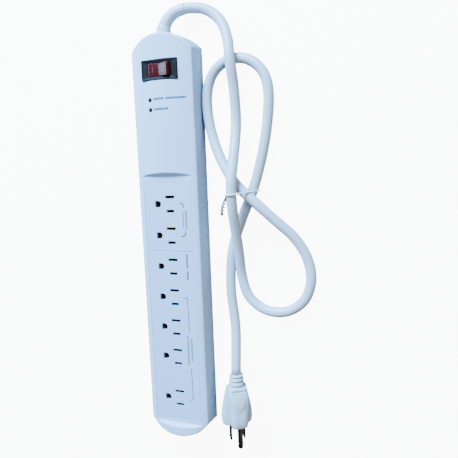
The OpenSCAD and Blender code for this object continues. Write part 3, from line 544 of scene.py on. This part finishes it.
class POWERSTRIP_OT_cord(bpy.types.Operator):
    """Lays the cord on its route, with the strain relief, the plug, its blades and the tie"""

    bl_idname = "power_strip.cord"
    bl_label = "Cord, plug and tie"

    def execute(self, context):
        sizes, colours = context.scene.strip_sizes, context.scene.strip_colours
        # The curve has one point more at each end, inside the strain relief and the plug
        steps, handle = 6, PLUG * MM + (0, 0.022, -0.0047)
        whole = curve(np.vstack([BOOT[-2:-1], CORD_ROUTE, handle]), steps) / MM
        path = whole[steps:-steps]
        points, quads, tris, place = loft(
            sweep(path, sizes.cord_diameter / MM / 2, sizes.cord_sides))
        # Along the cord, the UV map counts lengths of 100 mm
        place = place * [1, along(path)[-1] / 100]
        cord = piece("cord_jacket", points, quads, tris, place,
                     jacket("soft_pvc_jacket", colours.cord))
        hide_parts("cord")

        overmould = moulded("moulded_soft_pvc", colours.cord, 0.38, 0.9, 0.12, ior=1.52)
        self.strain_relief(overmould, path[2])
        plug = self.plug(overmould)
        tie = self.tie(sizes)
        # The blades are coloured dark brown-grey to near black, far darker than bright nickel
        dark = metal("nickel_plate_dark", "#4A443C", "#1E1B18", 0.34)
        for node in ("line_blade", "neutral_blade", "ground_pin"):
            dress(node, dark, 0.0002)
        return {"FINISHED"}

    def strain_relief(self, finish, beyond):
        """Boot that leaves the end wall through a collar and bends with the cord. It steps in
        outside the wall, then its radius falls to a little over the cord's."""
        steps = 14
        path = curve(np.vstack([BOOT, beyond * MM]), steps)[:-steps] / MM
        run = along(path)
        radius = np.interp(run, [0, 7.2, 7.8, 8.4, 16, run[-1] - 0.6, run[-1]],
                           [6.2, 6.2, 6.0, 5.6, 5.1, 4.75, 4.6])
        boot = piece("strain_relief", *loft(sweep(path, radius, 32)), finish)
        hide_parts("cord_gland")

    def plug(self, finish):
        """Plug body lofted along its axis: each ring mixes two sections, at the face a wide base
        with a ridge for the ground pin, at the shoulder a rounded block, and is scaled by a
        profile that swells behind the face and draws in to a shoulder plate."""
        sides = 96
        ray = circle(sides)
        face = self.section([(8.5, -3.4, 6), (-8.5, -3.4, 6), (0, -1, 6.2), (-2.6, 7.4, 5.4),
                             (2.6, 7.4, 5.4), (0, -1, 6.2)], ray)
        block = self.section([(9.2, -4.2, 3.4), (-9.2, -4.2, 3.4), (-7.4, 8.2, 3.4),
                              (7.4, 8.2, 3.4)], ray)

        # Distance from the face, and share of the full section there
        body = np.array([
            (0, 0.0), (0, 0.45), (0, 0.84), (0.15, 0.885), (0.5, 0.915), (1.0, 0.935), (2, 0.963),
            (4, 0.99), (7, 1.0), (10, 1.0), (13, 0.99), (16, 0.98), (18.5, 0.965), (21, 0.945),
            (23.5, 0.92), (26, 0.893), (28.5, 0.86), (31, 0.822), (33, 0.785), (33.8, 0.76),
            (34.1, 0.725), (34.4, 0.72), (34.7, 0.75), (35.1, 0.765), (36.2, 0.735), (36.8, 0.70),
            (37, 0.645), (37, 0.56)])
        length = body[:, :1]
        # The sections change over from 6 to 32 mm behind the face
        mix = eased((length - 6) / 26)
        reach = (face * (1 - mix) + block * mix) * body[:, 1:]
        # An oval grip pad stands 1.1 mm out of the ridge, 25 mm behind the face, and a dimple
        # 0.8 mm deep lies beside it. Angles times a rough radius give distances round the body
        turn = np.linspace(0, 2 * np.pi, sides, endpoint=False) - math.radians(93)
        turn = (turn + np.pi) % (2 * np.pi) - np.pi
        pad = np.hypot(turn * 11.0 / 5.6, (length - 25.0) / 7.0)
        reach = reach + 1.1 * eased((1.15 - pad) / 0.4)
        dimple = np.hypot((turn - 0.52) * 12.0, length - 22.0) / 1.3
        reach = reach - 0.8 * np.exp(-dimple ** 2)
        # Relief behind the shoulder: distance from the face, and radius of three collars
        relief = np.array([
            (37.1, 5.7), (37.9, 5.6), (38.0, 6.2), (38.3, 6.85), (38.9, 7.0), (40.4, 6.85),
            (40.9, 6.55), (41.1, 6.0), (41.2, 5.4), (41.9, 5.3), (42.0, 5.9), (42.3, 6.5),
            (42.9, 6.65), (44.2, 6.5), (44.7, 6.25), (44.9, 5.7), (45.0, 5.15), (45.7, 5.1),
            (45.8, 5.6), (46.1, 6.15), (46.6, 6.3), (47.4, 6.15), (47.8, 5.7), (48, 5.2),
            (48, 4.6)])
        length = np.vstack([length, relief[:, :1]])
        reach = np.vstack([reach, np.repeat(relief[:, 1:], sides, axis=1)])
        u, v = reach * ray[:, 0], reach * ray[:, 1]
        rings = np.stack([u * math.cos(PLUG_ROLL) + v * math.sin(PLUG_ROLL),
                          np.repeat(length, sides, axis=1),
                          v * math.cos(PLUG_ROLL) - u * math.sin(PLUG_ROLL)], axis=2) + PLUG
        points, quads, tris, place = loft(rings)
        plug = piece("plug_moulding", points, quads[:, ::-1], tris[:, ::-1], place[:, ::-1],
                     finish)
        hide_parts("plug_body")
        return plug

    def section(self, discs, ray):
        """Distance from the axis, along each ray, to the outermost of the circles that run from
        each disc to the next. A disc is the X and Y of its middle and its radius."""
        discs = np.array(discs, float)
        share = np.linspace(0, 1, 33)[:, None, None]
        between = (discs * (1 - share) + np.roll(discs, -1, axis=0) * share).reshape(-1, 3)
        ahead = between[:, :2] @ ray.T
        across = between[:, :1] * ray[:, 1] - between[:, 1:2] * ray[:, 0]
        inside = between[:, 2:] ** 2 - across ** 2
        return np.where(inside > 0, ahead + np.sqrt(np.maximum(inside, 0)), 0).max(axis=0)

    def tie(self, sizes):
        """Coated wire wound round three strands: a tube over arcs about each strand, a little
        wider than high, with its two ends twisted together as a double helix."""
        d = sizes.tie_diameter / MM
        reach = (sizes.cord_diameter / MM + d) / 2 + 0.1
        turn = []
        # X and Z of each strand, and the angles between which the wire lies on it. The turn
        # crosses the strands at Y 45, a little aslant
        for x, z, first, last in (
                (74.9, 6.1, -142, 26), (70.4, 15.9, 26, 46), (61.9, 25.4, 46, 218)):
            a = np.radians(np.linspace(first, last, max(3, int((last - first) / 12))))
            cx = x + 1.18 * reach * np.cos(a)
            turn.append(np.column_stack([cx, 45 + 0.12 * (cx - 66), z + reach * np.sin(a)]))
        knot, tip, steps = np.array((56, 42.6, 20)), np.array((46.2, 25, 8.6)), 36
        ahead = unit(tip - knot)
        u = unit(np.cross(ahead, (0, 0, 1)))
        v = np.cross(u, ahead)

        def tail(phase):
            """One end: it winds three times round the line from the knot to the tip, which
            bows by 1.2 mm."""
            t = (np.arange(1, steps + 1) / steps)[:, None]
            a = np.radians(phase + 1080 * t)
            wide = d / 2 + 0.1 + 0.5 * np.sin(np.pi * t) ** 2
            return (knot + t * (tip - knot) + wide * (np.cos(a) * u + np.sin(a) * v)
                    + 1.2 * np.sin(np.pi * t) * u)

        path = np.vstack([tail(300)[::-1], *turn, tail(120)])
        points, quads, tris, place = loft(sweep(path, d / 2, 10, (-0.5, 1, -0.6)))
        # The second coordinate tells how far out on a twisted end a point is, 0 on the turn
        end = np.linspace(0.03, 1, steps)
        out = np.concatenate([end[::-1], np.zeros(len(path) - 2 * steps), end])
        place[..., 1] = np.interp(place[..., 1], np.linspace(0, 1, len(path)), out)
        tie = piece("wire_tie", points, quads, tris, place, self.tie_finish())
        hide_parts("twist_tie")
        return tie

    def tie_finish(self):
        """White coating of the tie. On the twisted ends it is scuffed and brown, and it turns dark
        at the knot and towards the tip."""
        finish, place = new_finish("worn_tie_coating")
        far = add(finish, "ShaderNodeSeparateXYZ", inputs={0: place["UV"]})
        wear = add(finish, "ShaderNodeValToRGB", inputs={0: far.outputs[1]})
        ends = wear.color_ramp.elements
        ends[0].color, ends[1].color = linear("#F1F4F8"), linear("#0C0A09")
        for at, colour in ((0.02, "#EDF1F5"), (0.06, "#3C3D42"), (0.16, "#5A5654"),
                           (0.24, "#B8A89E"), (0.5, "#A89486"), (0.6, "#3A322C"),
                           (0.9, "#120F0D")):
            ends.new(at).color = linear(colour)
        scuffs = add(finish, "ShaderNodeTexNoise", inputs={
            "Vector": place["Object"], "Scale": per_metre(0.8), "Detail": 3.0}).outputs[0]
        return surface(finish, (scuffs, wear.outputs[0], linear("#DADADA")),
                       (scuffs, 0.35, 0.6), levels={"IOR": 1.5}, blend="MULTIPLY")


class POWERSTRIP_OT_case(bpy.types.Operator):
    """Finishes the cover, the base, the outlet panel and the screws"""

    bl_idname = "power_strip.case"
    bl_label = "Case"

    def execute(self, context):
        sizes, colours = context.scene.strip_sizes, context.scene.strip_colours
        self.cover(sizes, moulded("spark_eroded_abs", colours.case, 0.46, 0.7, 0.16))
        panel = moulded("spark_eroded_abs_panel_painted_shade", colours.panel, 0.5, 0.7, 0.18)
        # The panel's colour is darkened below its face: painted shade in the slots
        self.paint_slot_shade(panel)
        dress("base_shell", moulded("moulded_abs_base", shade(colours.case, 0.9), 0.5, 0.8, 0.15),
              sizes.edge_rounding)
        dress("outlet_panel", panel, 0.0002)
        dress("case_screws", metal("zinc_plated_steel", "#A9ADB3", "#7C8088", 0.36))
        return {"FINISHED"}

    def paint_slot_shade(self, finish):
        """Paints shade into the plastic's colour by depth, so that the narrow slots read as dark as
        they are to the eye: full colour at the face, a tenth of it 2.5 mm below."""
        nodes = finish.node_tree.nodes
        tone = nodes["Principled BSDF"].inputs["Base Color"].links[0].from_socket
        place = nodes["Texture Coordinate"]
        part = add(finish, "ShaderNodeSeparateXYZ", inputs={0: place.outputs["Object"]})
        # Painted shade: the colour falls to a tenth of itself from the face to 2.5 mm below it
        depth = add(finish, "ShaderNodeMapRange", inputs={
            "Value": part.outputs[2], "From Min": (FACE_Z - 2.5) * MM,
            "From Max": (FACE_Z - 0.1) * MM, "To Min": 0.1, "To Max": 1.0})
        surface(finish, (1.0, tone, depth.outputs[0]), blend="MULTIPLY")

    def cover(self, sizes, finish):
        """Cover moulding as one skin. Its top is a height over X and Y on a grid whose columns
        are shares of the top's half width and whose rows follow the slopes' edges. From the
        rim of the top, an arc and a leaning wall run down to the seam along the outline's
        normals. The panel, switch, lamp and cord openings are left out of the grid."""
        tall = CROWN_TOP - ROUND * (1 - math.sin(LEAN))
        end = END_R - tall * math.tan(LEAN) - ROUND * math.cos(LEAN)
        side = self.top_half_width()
        rows, cols = self.places(side, end)

        # The top, and last its two poles. A row is as wide as the straight sides or the round
        # end allow, and the change between them is blended over 0.7 mm
        rim_y, bow = rows[:, :1], rows[:, 1:]
        beyond = np.maximum(np.abs(rim_y) - END_C, 0)
        ends = np.sqrt(end ** 2 - beyond ** 2)
        half, straight = softer(np.full_like(ends, side), ends, 0.7)
        x = cols / side * half
        y = rim_y + np.sign(rim_y) * bow * np.maximum(crown_at(x) - FACE_Z, 0) / math.tan(SLOPE)
        flat = np.vstack([np.stack([x, y], axis=-1).reshape(-1, 2),
                          (0, -END_C - end), (0, END_C + end)])
        points = [on_top(flat)]
        ids = np.arange(x.size).reshape(x.shape)
        low_pole, high_pole, count = x.size, x.size + 1, x.size + 2
        fan = np.ones(len(cols) - 1, int)
        tris = [np.column_stack([fan * low_pole, ids[0, 1:], ids[0, :-1]]),
                np.column_stack([fan * high_pole, ids[-1, :-1], ids[-1, 1:]])]

        # Its openings: half sizes and middle, and a round hole's radius
        panel_y, panel_half = (PANEL_LOW + PANEL_HIGH) / 2, (PANEL_HIGH - PANEL_LOW) / 2
        openings = [((0, panel_y), (PANEL_HALF, panel_half), None),
                    ((0, SWITCH_Y), SWITCH_HOLE, None)]
        openings += [(lamp, (LAMP_FIELD, LAMP_FIELD), LAMP_HOLE) for lamp in LAMPS]
        keep = np.ones((len(rows) - 1, len(cols) - 1), bool)
        patches = []
        # Rows that bow over the slopes don't count as an opening's edge
        level = np.where(rows[:, 1] > 0, np.inf, rows[:, 0])
        for middle, (half_x, half_y), radius in openings:
            a0, a1 = nearest(level, middle[1] - half_y, middle[1] + half_y)
            b0, b1 = nearest(cols, middle[0] - half_x, middle[0] + half_x)
            keep[a0:a1, b0:b1] = False
            if radius:
                edge = edge_of(ids, a0, a1, b0, b1)
                rings, patch = round_hole(edge, flat[edge], middle, radius, count)
                points.append(on_top(rings))
                patches.append(patch)
                count += len(rings)
        quads = [grid(len(rows), len(cols))[0][keep.ravel()], *patches]

        # The rim's loop, anticlockwise, and its outward normals in plan
        loop = np.concatenate([ids[:, -1], [high_pole], ids[::-1, 0], [low_pole]])
        start = points[0][loop]
        toward = np.column_stack([half, beyond * np.sign(rim_y)]) / end
        ahead = unit(straight * (1.0, 0.0) + (1 - straight) * toward)
        normal = np.vstack([ahead, (0, 1), (ahead * (-1, 1))[::-1], (0, -1)])

        # Down from there: the arc, the leaning wall and a chamfer at the seam. The wall's foot
        # goes over from the sides' reach to the ends' as the normal turns
        first = np.arctan(start[:, 0] * normal[:, 0] / np.sqrt(CROWN_R ** 2 - start[:, 0] ** 2))
        a = first + (math.pi / 2 - LEAN - first) * np.linspace(0, 1, 8)[1:, None]
        out = ROUND * (np.sin(a) - np.sin(first))
        drop = start[:, 2] + ROUND * (np.cos(a) - np.cos(first))
        rim_out, rim_z, chamfer = out[-1], drop[-1], 0.3
        foot_side = HALF_W - SEAM_Z * math.tan(LEAN) - side
        foot_end = END_R - SEAM_Z * math.tan(LEAN) - end
        foot = foot_side + (foot_end - foot_side) * np.clip(np.abs(normal[:, 1]) / 0.66, 0, 1)
        step = np.array([0.08, 0.17, 0.33, 0.49, 0.65, 0.81, 0.94, 1.0])[:, None]
        z = rim_z + (SEAM_Z + chamfer - rim_z) * step
        slant = (foot - rim_out) / (rim_z - SEAM_Z)
        out = np.vstack([out, rim_out + slant * (rim_z - z), foot - chamfer])
        drop = np.vstack([drop, z, np.full(len(loop), SEAM_Z)])
        points.append(np.column_stack([(start[:, 0] + out * normal[:, 0]).ravel(),
                                       (start[:, 1] + out * normal[:, 1]).ravel(), drop.ravel()]))
        rings = np.vstack([loop, count + np.arange(drop.size).reshape(drop.shape)])
        count += drop.size

        # The cord's hole through the end wall, in the wall's X and Z: the cells up to five columns
        # from the upper pole, and from row 9 to row 14 of the wall, give way to it
        pole = len(rows)
        a0, a1, b0, b1 = pole - 5, pole + 5, 9, 14
        keep = np.ones((len(rings) - 1, len(loop)), bool)
        keep[b0:b1, a0:a1] = False
        cells = rings.ravel()[grid(*rings.shape, closed=True)[0][:, ::-1]]
        edge = edge_of(rings.T, a0, a1, b0, b1)
        flat = np.vstack(points)[edge][:, [0, 2]]
        hole, patch = round_hole(edge, flat, np.array((0, GLAND_Z)), GLAND_HOLE, count)
        reach = end + rim_out[pole] + slant[pole] * (rim_z[pole] - hole[:, 1])
        points.append(np.column_stack([
            hole[:, 0], END_C + np.sqrt(reach ** 2 - hole[:, 0] ** 2), hole[:, 1]]))
        quads += [cells[keep.ravel()], patch]
        cover = piece("cover_moulding", np.vstack(points), np.vstack(quads), np.vstack(tris),
                      finish=finish)
        wall = cover.modifiers.new("Wall", "SOLIDIFY")
        wall.thickness, wall.offset = 1.6 * MM, -1
        round_edges(cover, sizes.edge_rounding, 50)
        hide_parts("top_cover")

    def places(self, side, end):
        """Rows and columns of the top's grid, from the lower pole to the upper one and from left
        to right. A row is its place at the rim, and the share of the slope's reach by which it
        bows over the crown."""
        slope = [(-0.6, 0), (-0.25, 0), (0.05, 0.03), (0.2, 0.12), (0.35, 0.25), (0.5, 0.4),
                 (0.65, 0.55), (0.8, 0.7), (0.95, 0.84), (1.1, 0.94), (1.25, 1.02), (1.4, 1.12),
                 (1.6, 1.25)]
        cap = [(3.35, 0.01), (3.9, 0.03), (4.9, 0.09), (6.0, 0.2), (7.2, 0.38), (8.5, 0.6),
               (9.8, 0.85), (11.1, 1.08)]
        level = (-168.6, -168.2, -167.4, -166.6, *np.linspace(PANEL_LOW, PANEL_HIGH, 23),
                 58.2, 59.6)
        field = np.linspace(-LAMP_FIELD, LAMP_FIELD, 7)
        switch = np.linspace(SWITCH_Y - SWITCH_HOLE[1], SWITCH_Y + SWITCH_HOLE[1], 7)
        upper_end = END_C + end * np.cos(np.radians(2.8 * np.arange(17, 0, -1)))
        hood = (76, 82, 88, 94, 100, 106, 111.5, *(LAMPS[0][1] + field), *(LAMPS[1][1] + field),
                133.5, 138.5, *switch, 163, 165.2, 166.8, 167.7, *upper_end)
        rows = ([(a - END_Y, b) for a, b in cap] + [(LEVEL_LOW - a, b) for a, b in slope[::-1]]
                + [(y, 0) for y in level] + [(LEVEL_HIGH + a, b) for a, b in slope]
                + [(64, 1.1), (67, 0.8), (71, 0.4)] + [(y, 0) for y in hood])
        cols = np.array([0, 3, 6, 9, 12, 14.6, SWITCH_HOLE[0], 19, 21, 22.4, PANEL_HALF, 23.8,
                         24.3, 24.8, 25.6, 26.7, side])
        cols = np.unique(np.concatenate([-cols, cols]))
        lamp_x = LAMPS[0][0]
        cols = cols[np.abs(cols - lamp_x) > LAMP_FIELD + 0.7]
        return np.array(rows), np.sort(np.concatenate([cols, lamp_x + field]))

    def top_half_width(self):
        """Where the crown ends and the rounding begins: the point at which a circle of the
        rounding's radius that touches the leaning wall also touches the crown from inside."""
        slant = math.tan(LEAN)
        low = CROWN_TOP - CROWN_R
        foot = HALF_W - ROUND / math.cos(LEAN)
        qb = foot * slant + low
        qc = foot ** 2 + low ** 2 - (CROWN_R - ROUND) ** 2
        height = (qb + math.sqrt(qb ** 2 - (1 + slant ** 2) * qc)) / (1 + slant ** 2)
        return (foot - slant * height) * CROWN_R / (CROWN_R - ROUND)


class POWERSTRIP_OT_switch(bpy.types.Operator):
    """Builds the black switch frame and the clear red rocker with its marks"""

    bl_idname = "power_strip.switch"
    bl_label = "Switch"

    def execute(self, context):
        sizes, colours = context.scene.strip_sizes, context.scene.strip_colours
        self.bezel(sizes, moulded("glass_filled_nylon_black", colours.frame, 0.62, 0.6, 0.25,
                                  specular=0.15))
        self.rocker(clear_red("clear_red_polycarbonate", colours.rocker))
        dress("switch_terminals", metal("tinned_brass", "#C9C3B2", "#8F8468", 0.35))
        return {"FINISHED"}

    def bezel(self, sizes, finish):
        """Frame carried round a rounded rectangle: up the outer wall, over a raised rim, down a
        shelf that slopes to the rocker, and down the well to its floor."""
        r = sizes.bezel_rounding / MM
        # Half sizes outside and of the well, and where the frame sits on the cover
        half, well, seat = BEZEL_HALF, np.array((11.2, 5.7)), BEZEL_Z - 1.6
        # How far a ring is drawn in, its height and its corners' radius
        steps = [(0.0, seat, 1.0), (0.0, BEZEL_Z - r, 1.0), (0.3 * r, BEZEL_Z - 0.3 * r, 1.0),
                 (r, BEZEL_Z, 1.0), (1.0, BEZEL_Z, 0.8), (1.25, BEZEL_Z - 0.15, 0.7),
                 (1.45, BEZEL_Z - 0.3, 0.6)]
        rings = [rounded_loop(*(half - inset), radius, z) for inset, z, radius in steps]
        # Then the share of the way to the well, and the depth
        rings += [rounded_loop(*((half - 1.5) * (1 - share) + well * share), 0.5, BEZEL_Z - depth)
                  for share, depth in ((0.5, 0.42), (0.94, 0.62), (1.0, 0.75), (1.0, 1.4), (1.0, 6),
                                       (1.0, 14.6))]
        # The case below it, 30 by 14 mm and 16 mm deep
        case = [rounded_loop(15, 7, 0.6, z) for z in (seat - 16, seat)]
        for name, skin, closed in (("switch_frame", rings, (False, True)),
                                   ("switch_case", case, (True, False))):
            part = piece(name, *loft(np.array(skin) + (0, SWITCH_Y, 0), *closed), finish)
            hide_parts("switch_housing")

    def rocker(self, finish):
        """Rocker whose outline in X and Z is carried across the strip: two faces in a shallow V,
        round ends about the pivot, and edges drawn in at both sides."""
        # Radius about the pivot, X of the tips, and the square of the crease's rounding
        arc, tip, crease = 11.1, 9.8, 0.6
        tip_a = math.acos(tip / arc)

        def face(x):
            """Height of the V at X, with its crease rounded over."""
            return (arc * math.sin(tip_a)
                    - (tip - np.sqrt(x ** 2 + crease)) * math.tan(ROCKER_TILT))

        x = np.linspace(0.0, tip, 14)
        a = np.linspace(tip_a - 0.03, -0.02, 6)
        half = np.vstack([np.column_stack([x, face(x)]),
                          np.column_stack([arc * np.cos(a), arc * np.sin(a)]),
                          [(9.8, -2.4), (2.2, -4.2), (1.2, -7)]])
        outline = np.vstack([half, (half * (-1, 1))[::-1][:-1]])
        middle = np.array((0, -0.5))
        away = outline - middle
        rings = []
        for y, inset in ((-5.5, 0.45), (-5.38, 0.2), (-5.15, 0.06), (-4.9, 0.0), (0, 0.0),
                         (4.9, 0.0), (5.15, 0.06), (5.38, 0.2), (5.5, 0.45)):
            ring = middle + away - inset * unit(away)
            rings.append(np.column_stack([ring[:, 0], np.full(len(ring), y), ring[:, 1]]))
        rocker = piece("rocker_cap", *loft(self.tilted(rings)), finish, body="rocker")
        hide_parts("rocker")

        # The marks' middles are 5.4 mm from the crease. Heights are above the face
        turn = np.column_stack([circle(32) * (0.8, 1), np.zeros(32)])
        ring = [turn * r + (5.4, 0, h)
                for r, h in ((2.5, -0.05), (2.5, 0.04), (1.9, 0.04), (1.9, -0.05))]
        bar = [rounded_loop(0.35, 2.4, 0.15) * k + (-5.4, 0, h)
               for k, h in ((1, -0.05), (1, 0.02), (0.96, 0.04))]
        for name, rings, closed, tone in (
                ("rocker_off_mark", ring, False, ink("worn", "#8A5A5C")),
                ("rocker_on_mark", bar, True, ink("faded", "#4E141A"))):
            rings = np.array(rings)
            rings[..., 2] += face(rings[..., 0])
            part = piece(name, *loft(self.tilted(rings), closed, closed), tone, body="rocker")

    def tilted(self, rings):
        """Turns points about the pivot by the rest tilt and moves them to the switch."""
        x, y, z = np.moveaxis(np.array(rings), -1, 0)
        c, s = math.cos(ROCKER_TILT), math.sin(ROCKER_TILT)
        return np.stack([x * c - z * s, y + SWITCH_Y, x * s + z * c + PIVOT_Z], axis=-1)


class POWERSTRIP_OT_marks(bpy.types.Operator):
    """Prints the generic bars and lines beside the lamps and the outlets"""

    bl_idname = "power_strip.marks"
    bl_label = "Printed marks"

    def execute(self, context):
        thick = context.scene.strip_sizes.ink_thickness / MM
        grey, violet, dark, red, pale, green = (ink(name, colour) for name, colour in (
            ("grey", "#10151F"), ("violet", "#3E3654"), ("blue_black", "#141A26"),
            ("red", "#8A3050"), ("red_thin", "#A04C70"), ("green", "#347258")))
        words = self.words
        for name, tone, lines, width in (
                ("lamp_words", grey,
                 words(-6.5, 127.8, 3.4, 127.8) + words(5, 127.8, 24, 127.8), 1.9),
                ("lamp_words_low", grey, words(-6.6, 119.1, 7.9, 119.1), 1.9),
                ("first_hook", violet, [[(11.9, 37.2), (14.6, 36.4), (15.8, 32.6)],
                                        [(16.6, 12.4), (15.6, 8.6), (12.1, 7.0)]], 1.0),
                ("first_words", red, words(17.5, 31, 17.5, 13.5), 1.7),
                ("first_words_left", pale, words(14.5, 29.5, 14.5, 14.5), 1.5),
                ("second_words", dark,
                 words(16.3, -8.5, 16.3, -21.4) + words(16.4, -24, 16.4, -33.3), 1.7),
                ("third_line", dark,
                 [[(10.8, -48.8), (13.8, -49.2), (14.7, -51.2), (15.3, -80.9)],
                  [(15.4, -115.6), (15.9, -141.3), (15.0, -145.5), (12.4, -147.3)]], 0.6),
                ("third_words", green, words(13.4, -84.4, 13.4, -112.3), 1.7),
                ("third_words_right", green, words(17, -86.6, 17, -110), 1.5)):
            on_hood = name.startswith("lamp")
            mark = piece(name, *joined([self.line(points, width, thick, on_hood)
                                        for points in lines]), tone)
        return {"FINISHED"}

    def words(self, x0, y0, x1, y1, bar=1.05, gap=0.35):
        """A row of short bars that stand for printed words, one after each bar and gap."""
        start, end = np.array((x0, y0), float), np.array((x1, y1), float)
        ahead = unit(end - start)
        count = int((np.linalg.norm(end - start) + gap) / (bar + gap))
        return [(start + ahead * at, start + ahead * (at + bar))
                for at in np.arange(count) * (bar + gap)]

    def line(self, points, width, thick, on_hood):
        """A flat printed line: a rounded ribbon along points in X and Y, laid on the panel or on
        the crown, its underside a hair inside the plastic."""
        path = curve([(x, y, 0.0) for x, y in points], 8 if len(points) > 2 else 2)
        side = np.cross(unit(np.gradient(path, axis=0)), (0, 0, 1))
        section = np.array([(-0.5, -1), (-0.5, 0.6), (-0.42, 1), (0.42, 1), (0.5, 0.6), (0.5, -1)])
        rings = (path[:, None] + side[:, None] * section[:, :1] * width
                 + np.array((0, 0, 1.0)) * section[:, 1:] * thick)
        rings[..., 2] += crown_at(rings[..., 0]) if on_hood else FACE_Z
        return loft(rings)


class POWERSTRIP_OT_insides(bpy.types.Operator):
    """Finishes the lamps, the contacts, the circuit board, its parts and the leads"""

    bl_idname = "power_strip.insides"
    bl_label = "Lamps and insides"

    def execute(self, context):
        lens = moulded("smoked_acrylic_lens", linear("#08090C"), 0.5, 1.0, 0.05, ior=1.49,
                       specular=0.2)
        can = metal("tin_plated_can", "#C4C8CC", "#93979C", 0.3)
        # The bronze's colours are far darker than the metal's: painted shade, so that the contacts
        # read dark down in the slots
        brass = metal("phosphor_bronze_painted_shade", "#5E4A2C", "#3A2C18", 0.4)
        for node in ("protection_lamp", "ground_lamp"):
            self.lamp(node, lens, can)
        for node in ("neutral_bus", "always_on_bus", "control_bus", "switched_bus", "ground_bus"):
            dress(node, brass)
        dress("circuit_board", laminate("glass_epoxy_laminate", linear("#1F6B3E")))
        dress("thermal_fuse", can)
        for node, name, colour, rough, grain_mm, grain_share in (
                ("varistors", "dipped_epoxy_blue", "#2B62B4", 0.3, 1.5, 0.3),
                ("relay", "pbt_black", "#1E2126", 0.42, 0.8, 0.2),
                ("current_sensor", "ferrite_powder_core", "#35383D", 0.6, 0.5, 0.3),
                ("filter_capacitor", "flame_retardant_film_box", "#D9A93C", 0.35, 0.9, 0.15)):
            dress(node, moulded(name, linear(colour), rough, grain_mm, grain_share))
        for node, colour in (
                ("line_lead", "#1D1F22"), ("control_lead", "#26292D"), ("neutral_lead", "#ECEBE6"),
                ("ground_lead", "#2E8B4F"), ("switched_lead", "#A02830"),
                ("switch_lead", "#A02830"), ("always_on_lead", "#A02830")):
            dress(node, jacket("pvc_insulation_" + node, linear(colour), 0.4))
        return {"FINISHED"}

    def lamp(self, node, lens, wire):
        """Lamp turned about its upright axis: a flange, a barrel and a shallow dome that fills
        the hole in the cover, on two round legs."""
        low, high = corner(node, 0), corner(node, 1)
        x, y = (low + high)[:2] / 2
        top = crown_at(x)
        # Radius, and height above the crown
        turned = np.array([(1.9, -6.5), (1.9, -5.6), (1.5, -5.4), (1.5, -2.0), (1.84, -1.6),
                           (1.84, -0.3), (1.74, -0.12), (1.3, 0.06), (0.7, 0.18), (0.15, 0.2)])
        ring = np.column_stack([circle(32), np.zeros(32)])
        rings = turned[:, None, :1] * ring + turned[:, None, 1:] * (0, 0, 1) + (x, y, top)
        body = piece(node + "_lens", *loft(rings), lens)
        legs = [loft([ring[::4] * 0.28 + (x + side, y, z) for z in (low[2], top - 6.4)])
                for side in (-0.9, 0.9)]
        leads = piece(node + "_legs", *joined(legs), wire)
        for part in (body, leads):
            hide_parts(node)


class POWERSTRIP_PT_panel(bpy.types.Panel):
    """Lists the steps that dress the power strip"""

    bl_idname = "POWERSTRIP_PT_panel"
    bl_label = "Power strip"
    bl_space_type = "VIEW_3D"
    bl_region_type = "UI"
    bl_category = "Power strip"

    def draw(self, context):
        layout = self.layout
        for kind in STEPS:
            layout.operator(kind.bl_idname)
        for group in (context.scene.strip_sizes, context.scene.strip_colours):
            box = layout.box()
            for key in group.bl_rna.properties.keys():
                if key not in ("rna_type", "name"):
                    box.prop(group, key)


STEPS = (POWERSTRIP_OT_stage, POWERSTRIP_OT_cord, POWERSTRIP_OT_case, POWERSTRIP_OT_switch,
         POWERSTRIP_OT_marks, POWERSTRIP_OT_insides)
CLASSES = (StripSizes, StripColours, *STEPS, POWERSTRIP_PT_panel)


def register():
    """Registers the classes and hangs the sizes and colours on the scene."""
    for kind in CLASSES:
        bpy.utils.register_class(kind)
    bpy.types.Scene.strip_sizes = PointerProperty(type=StripSizes)
    bpy.types.Scene.strip_colours = PointerProperty(type=StripColours)


def unregister():
    """Takes the sizes, the colours and the classes away again."""
    del bpy.types.Scene.strip_colours
    del bpy.types.Scene.strip_sizes
    for kind in reversed(CLASSES):
        bpy.utils.unregister_class(kind)


def main():
    """Runs every step in order."""
    register()
    bpy.ops.power_strip.stage()
    bpy.ops.power_strip.cord()
    bpy.ops.power_strip.case()
    bpy.ops.power_strip.switch()
    bpy.ops.power_strip.marks()
    bpy.ops.power_strip.insides()


if __name__ == "__main__":
    main()
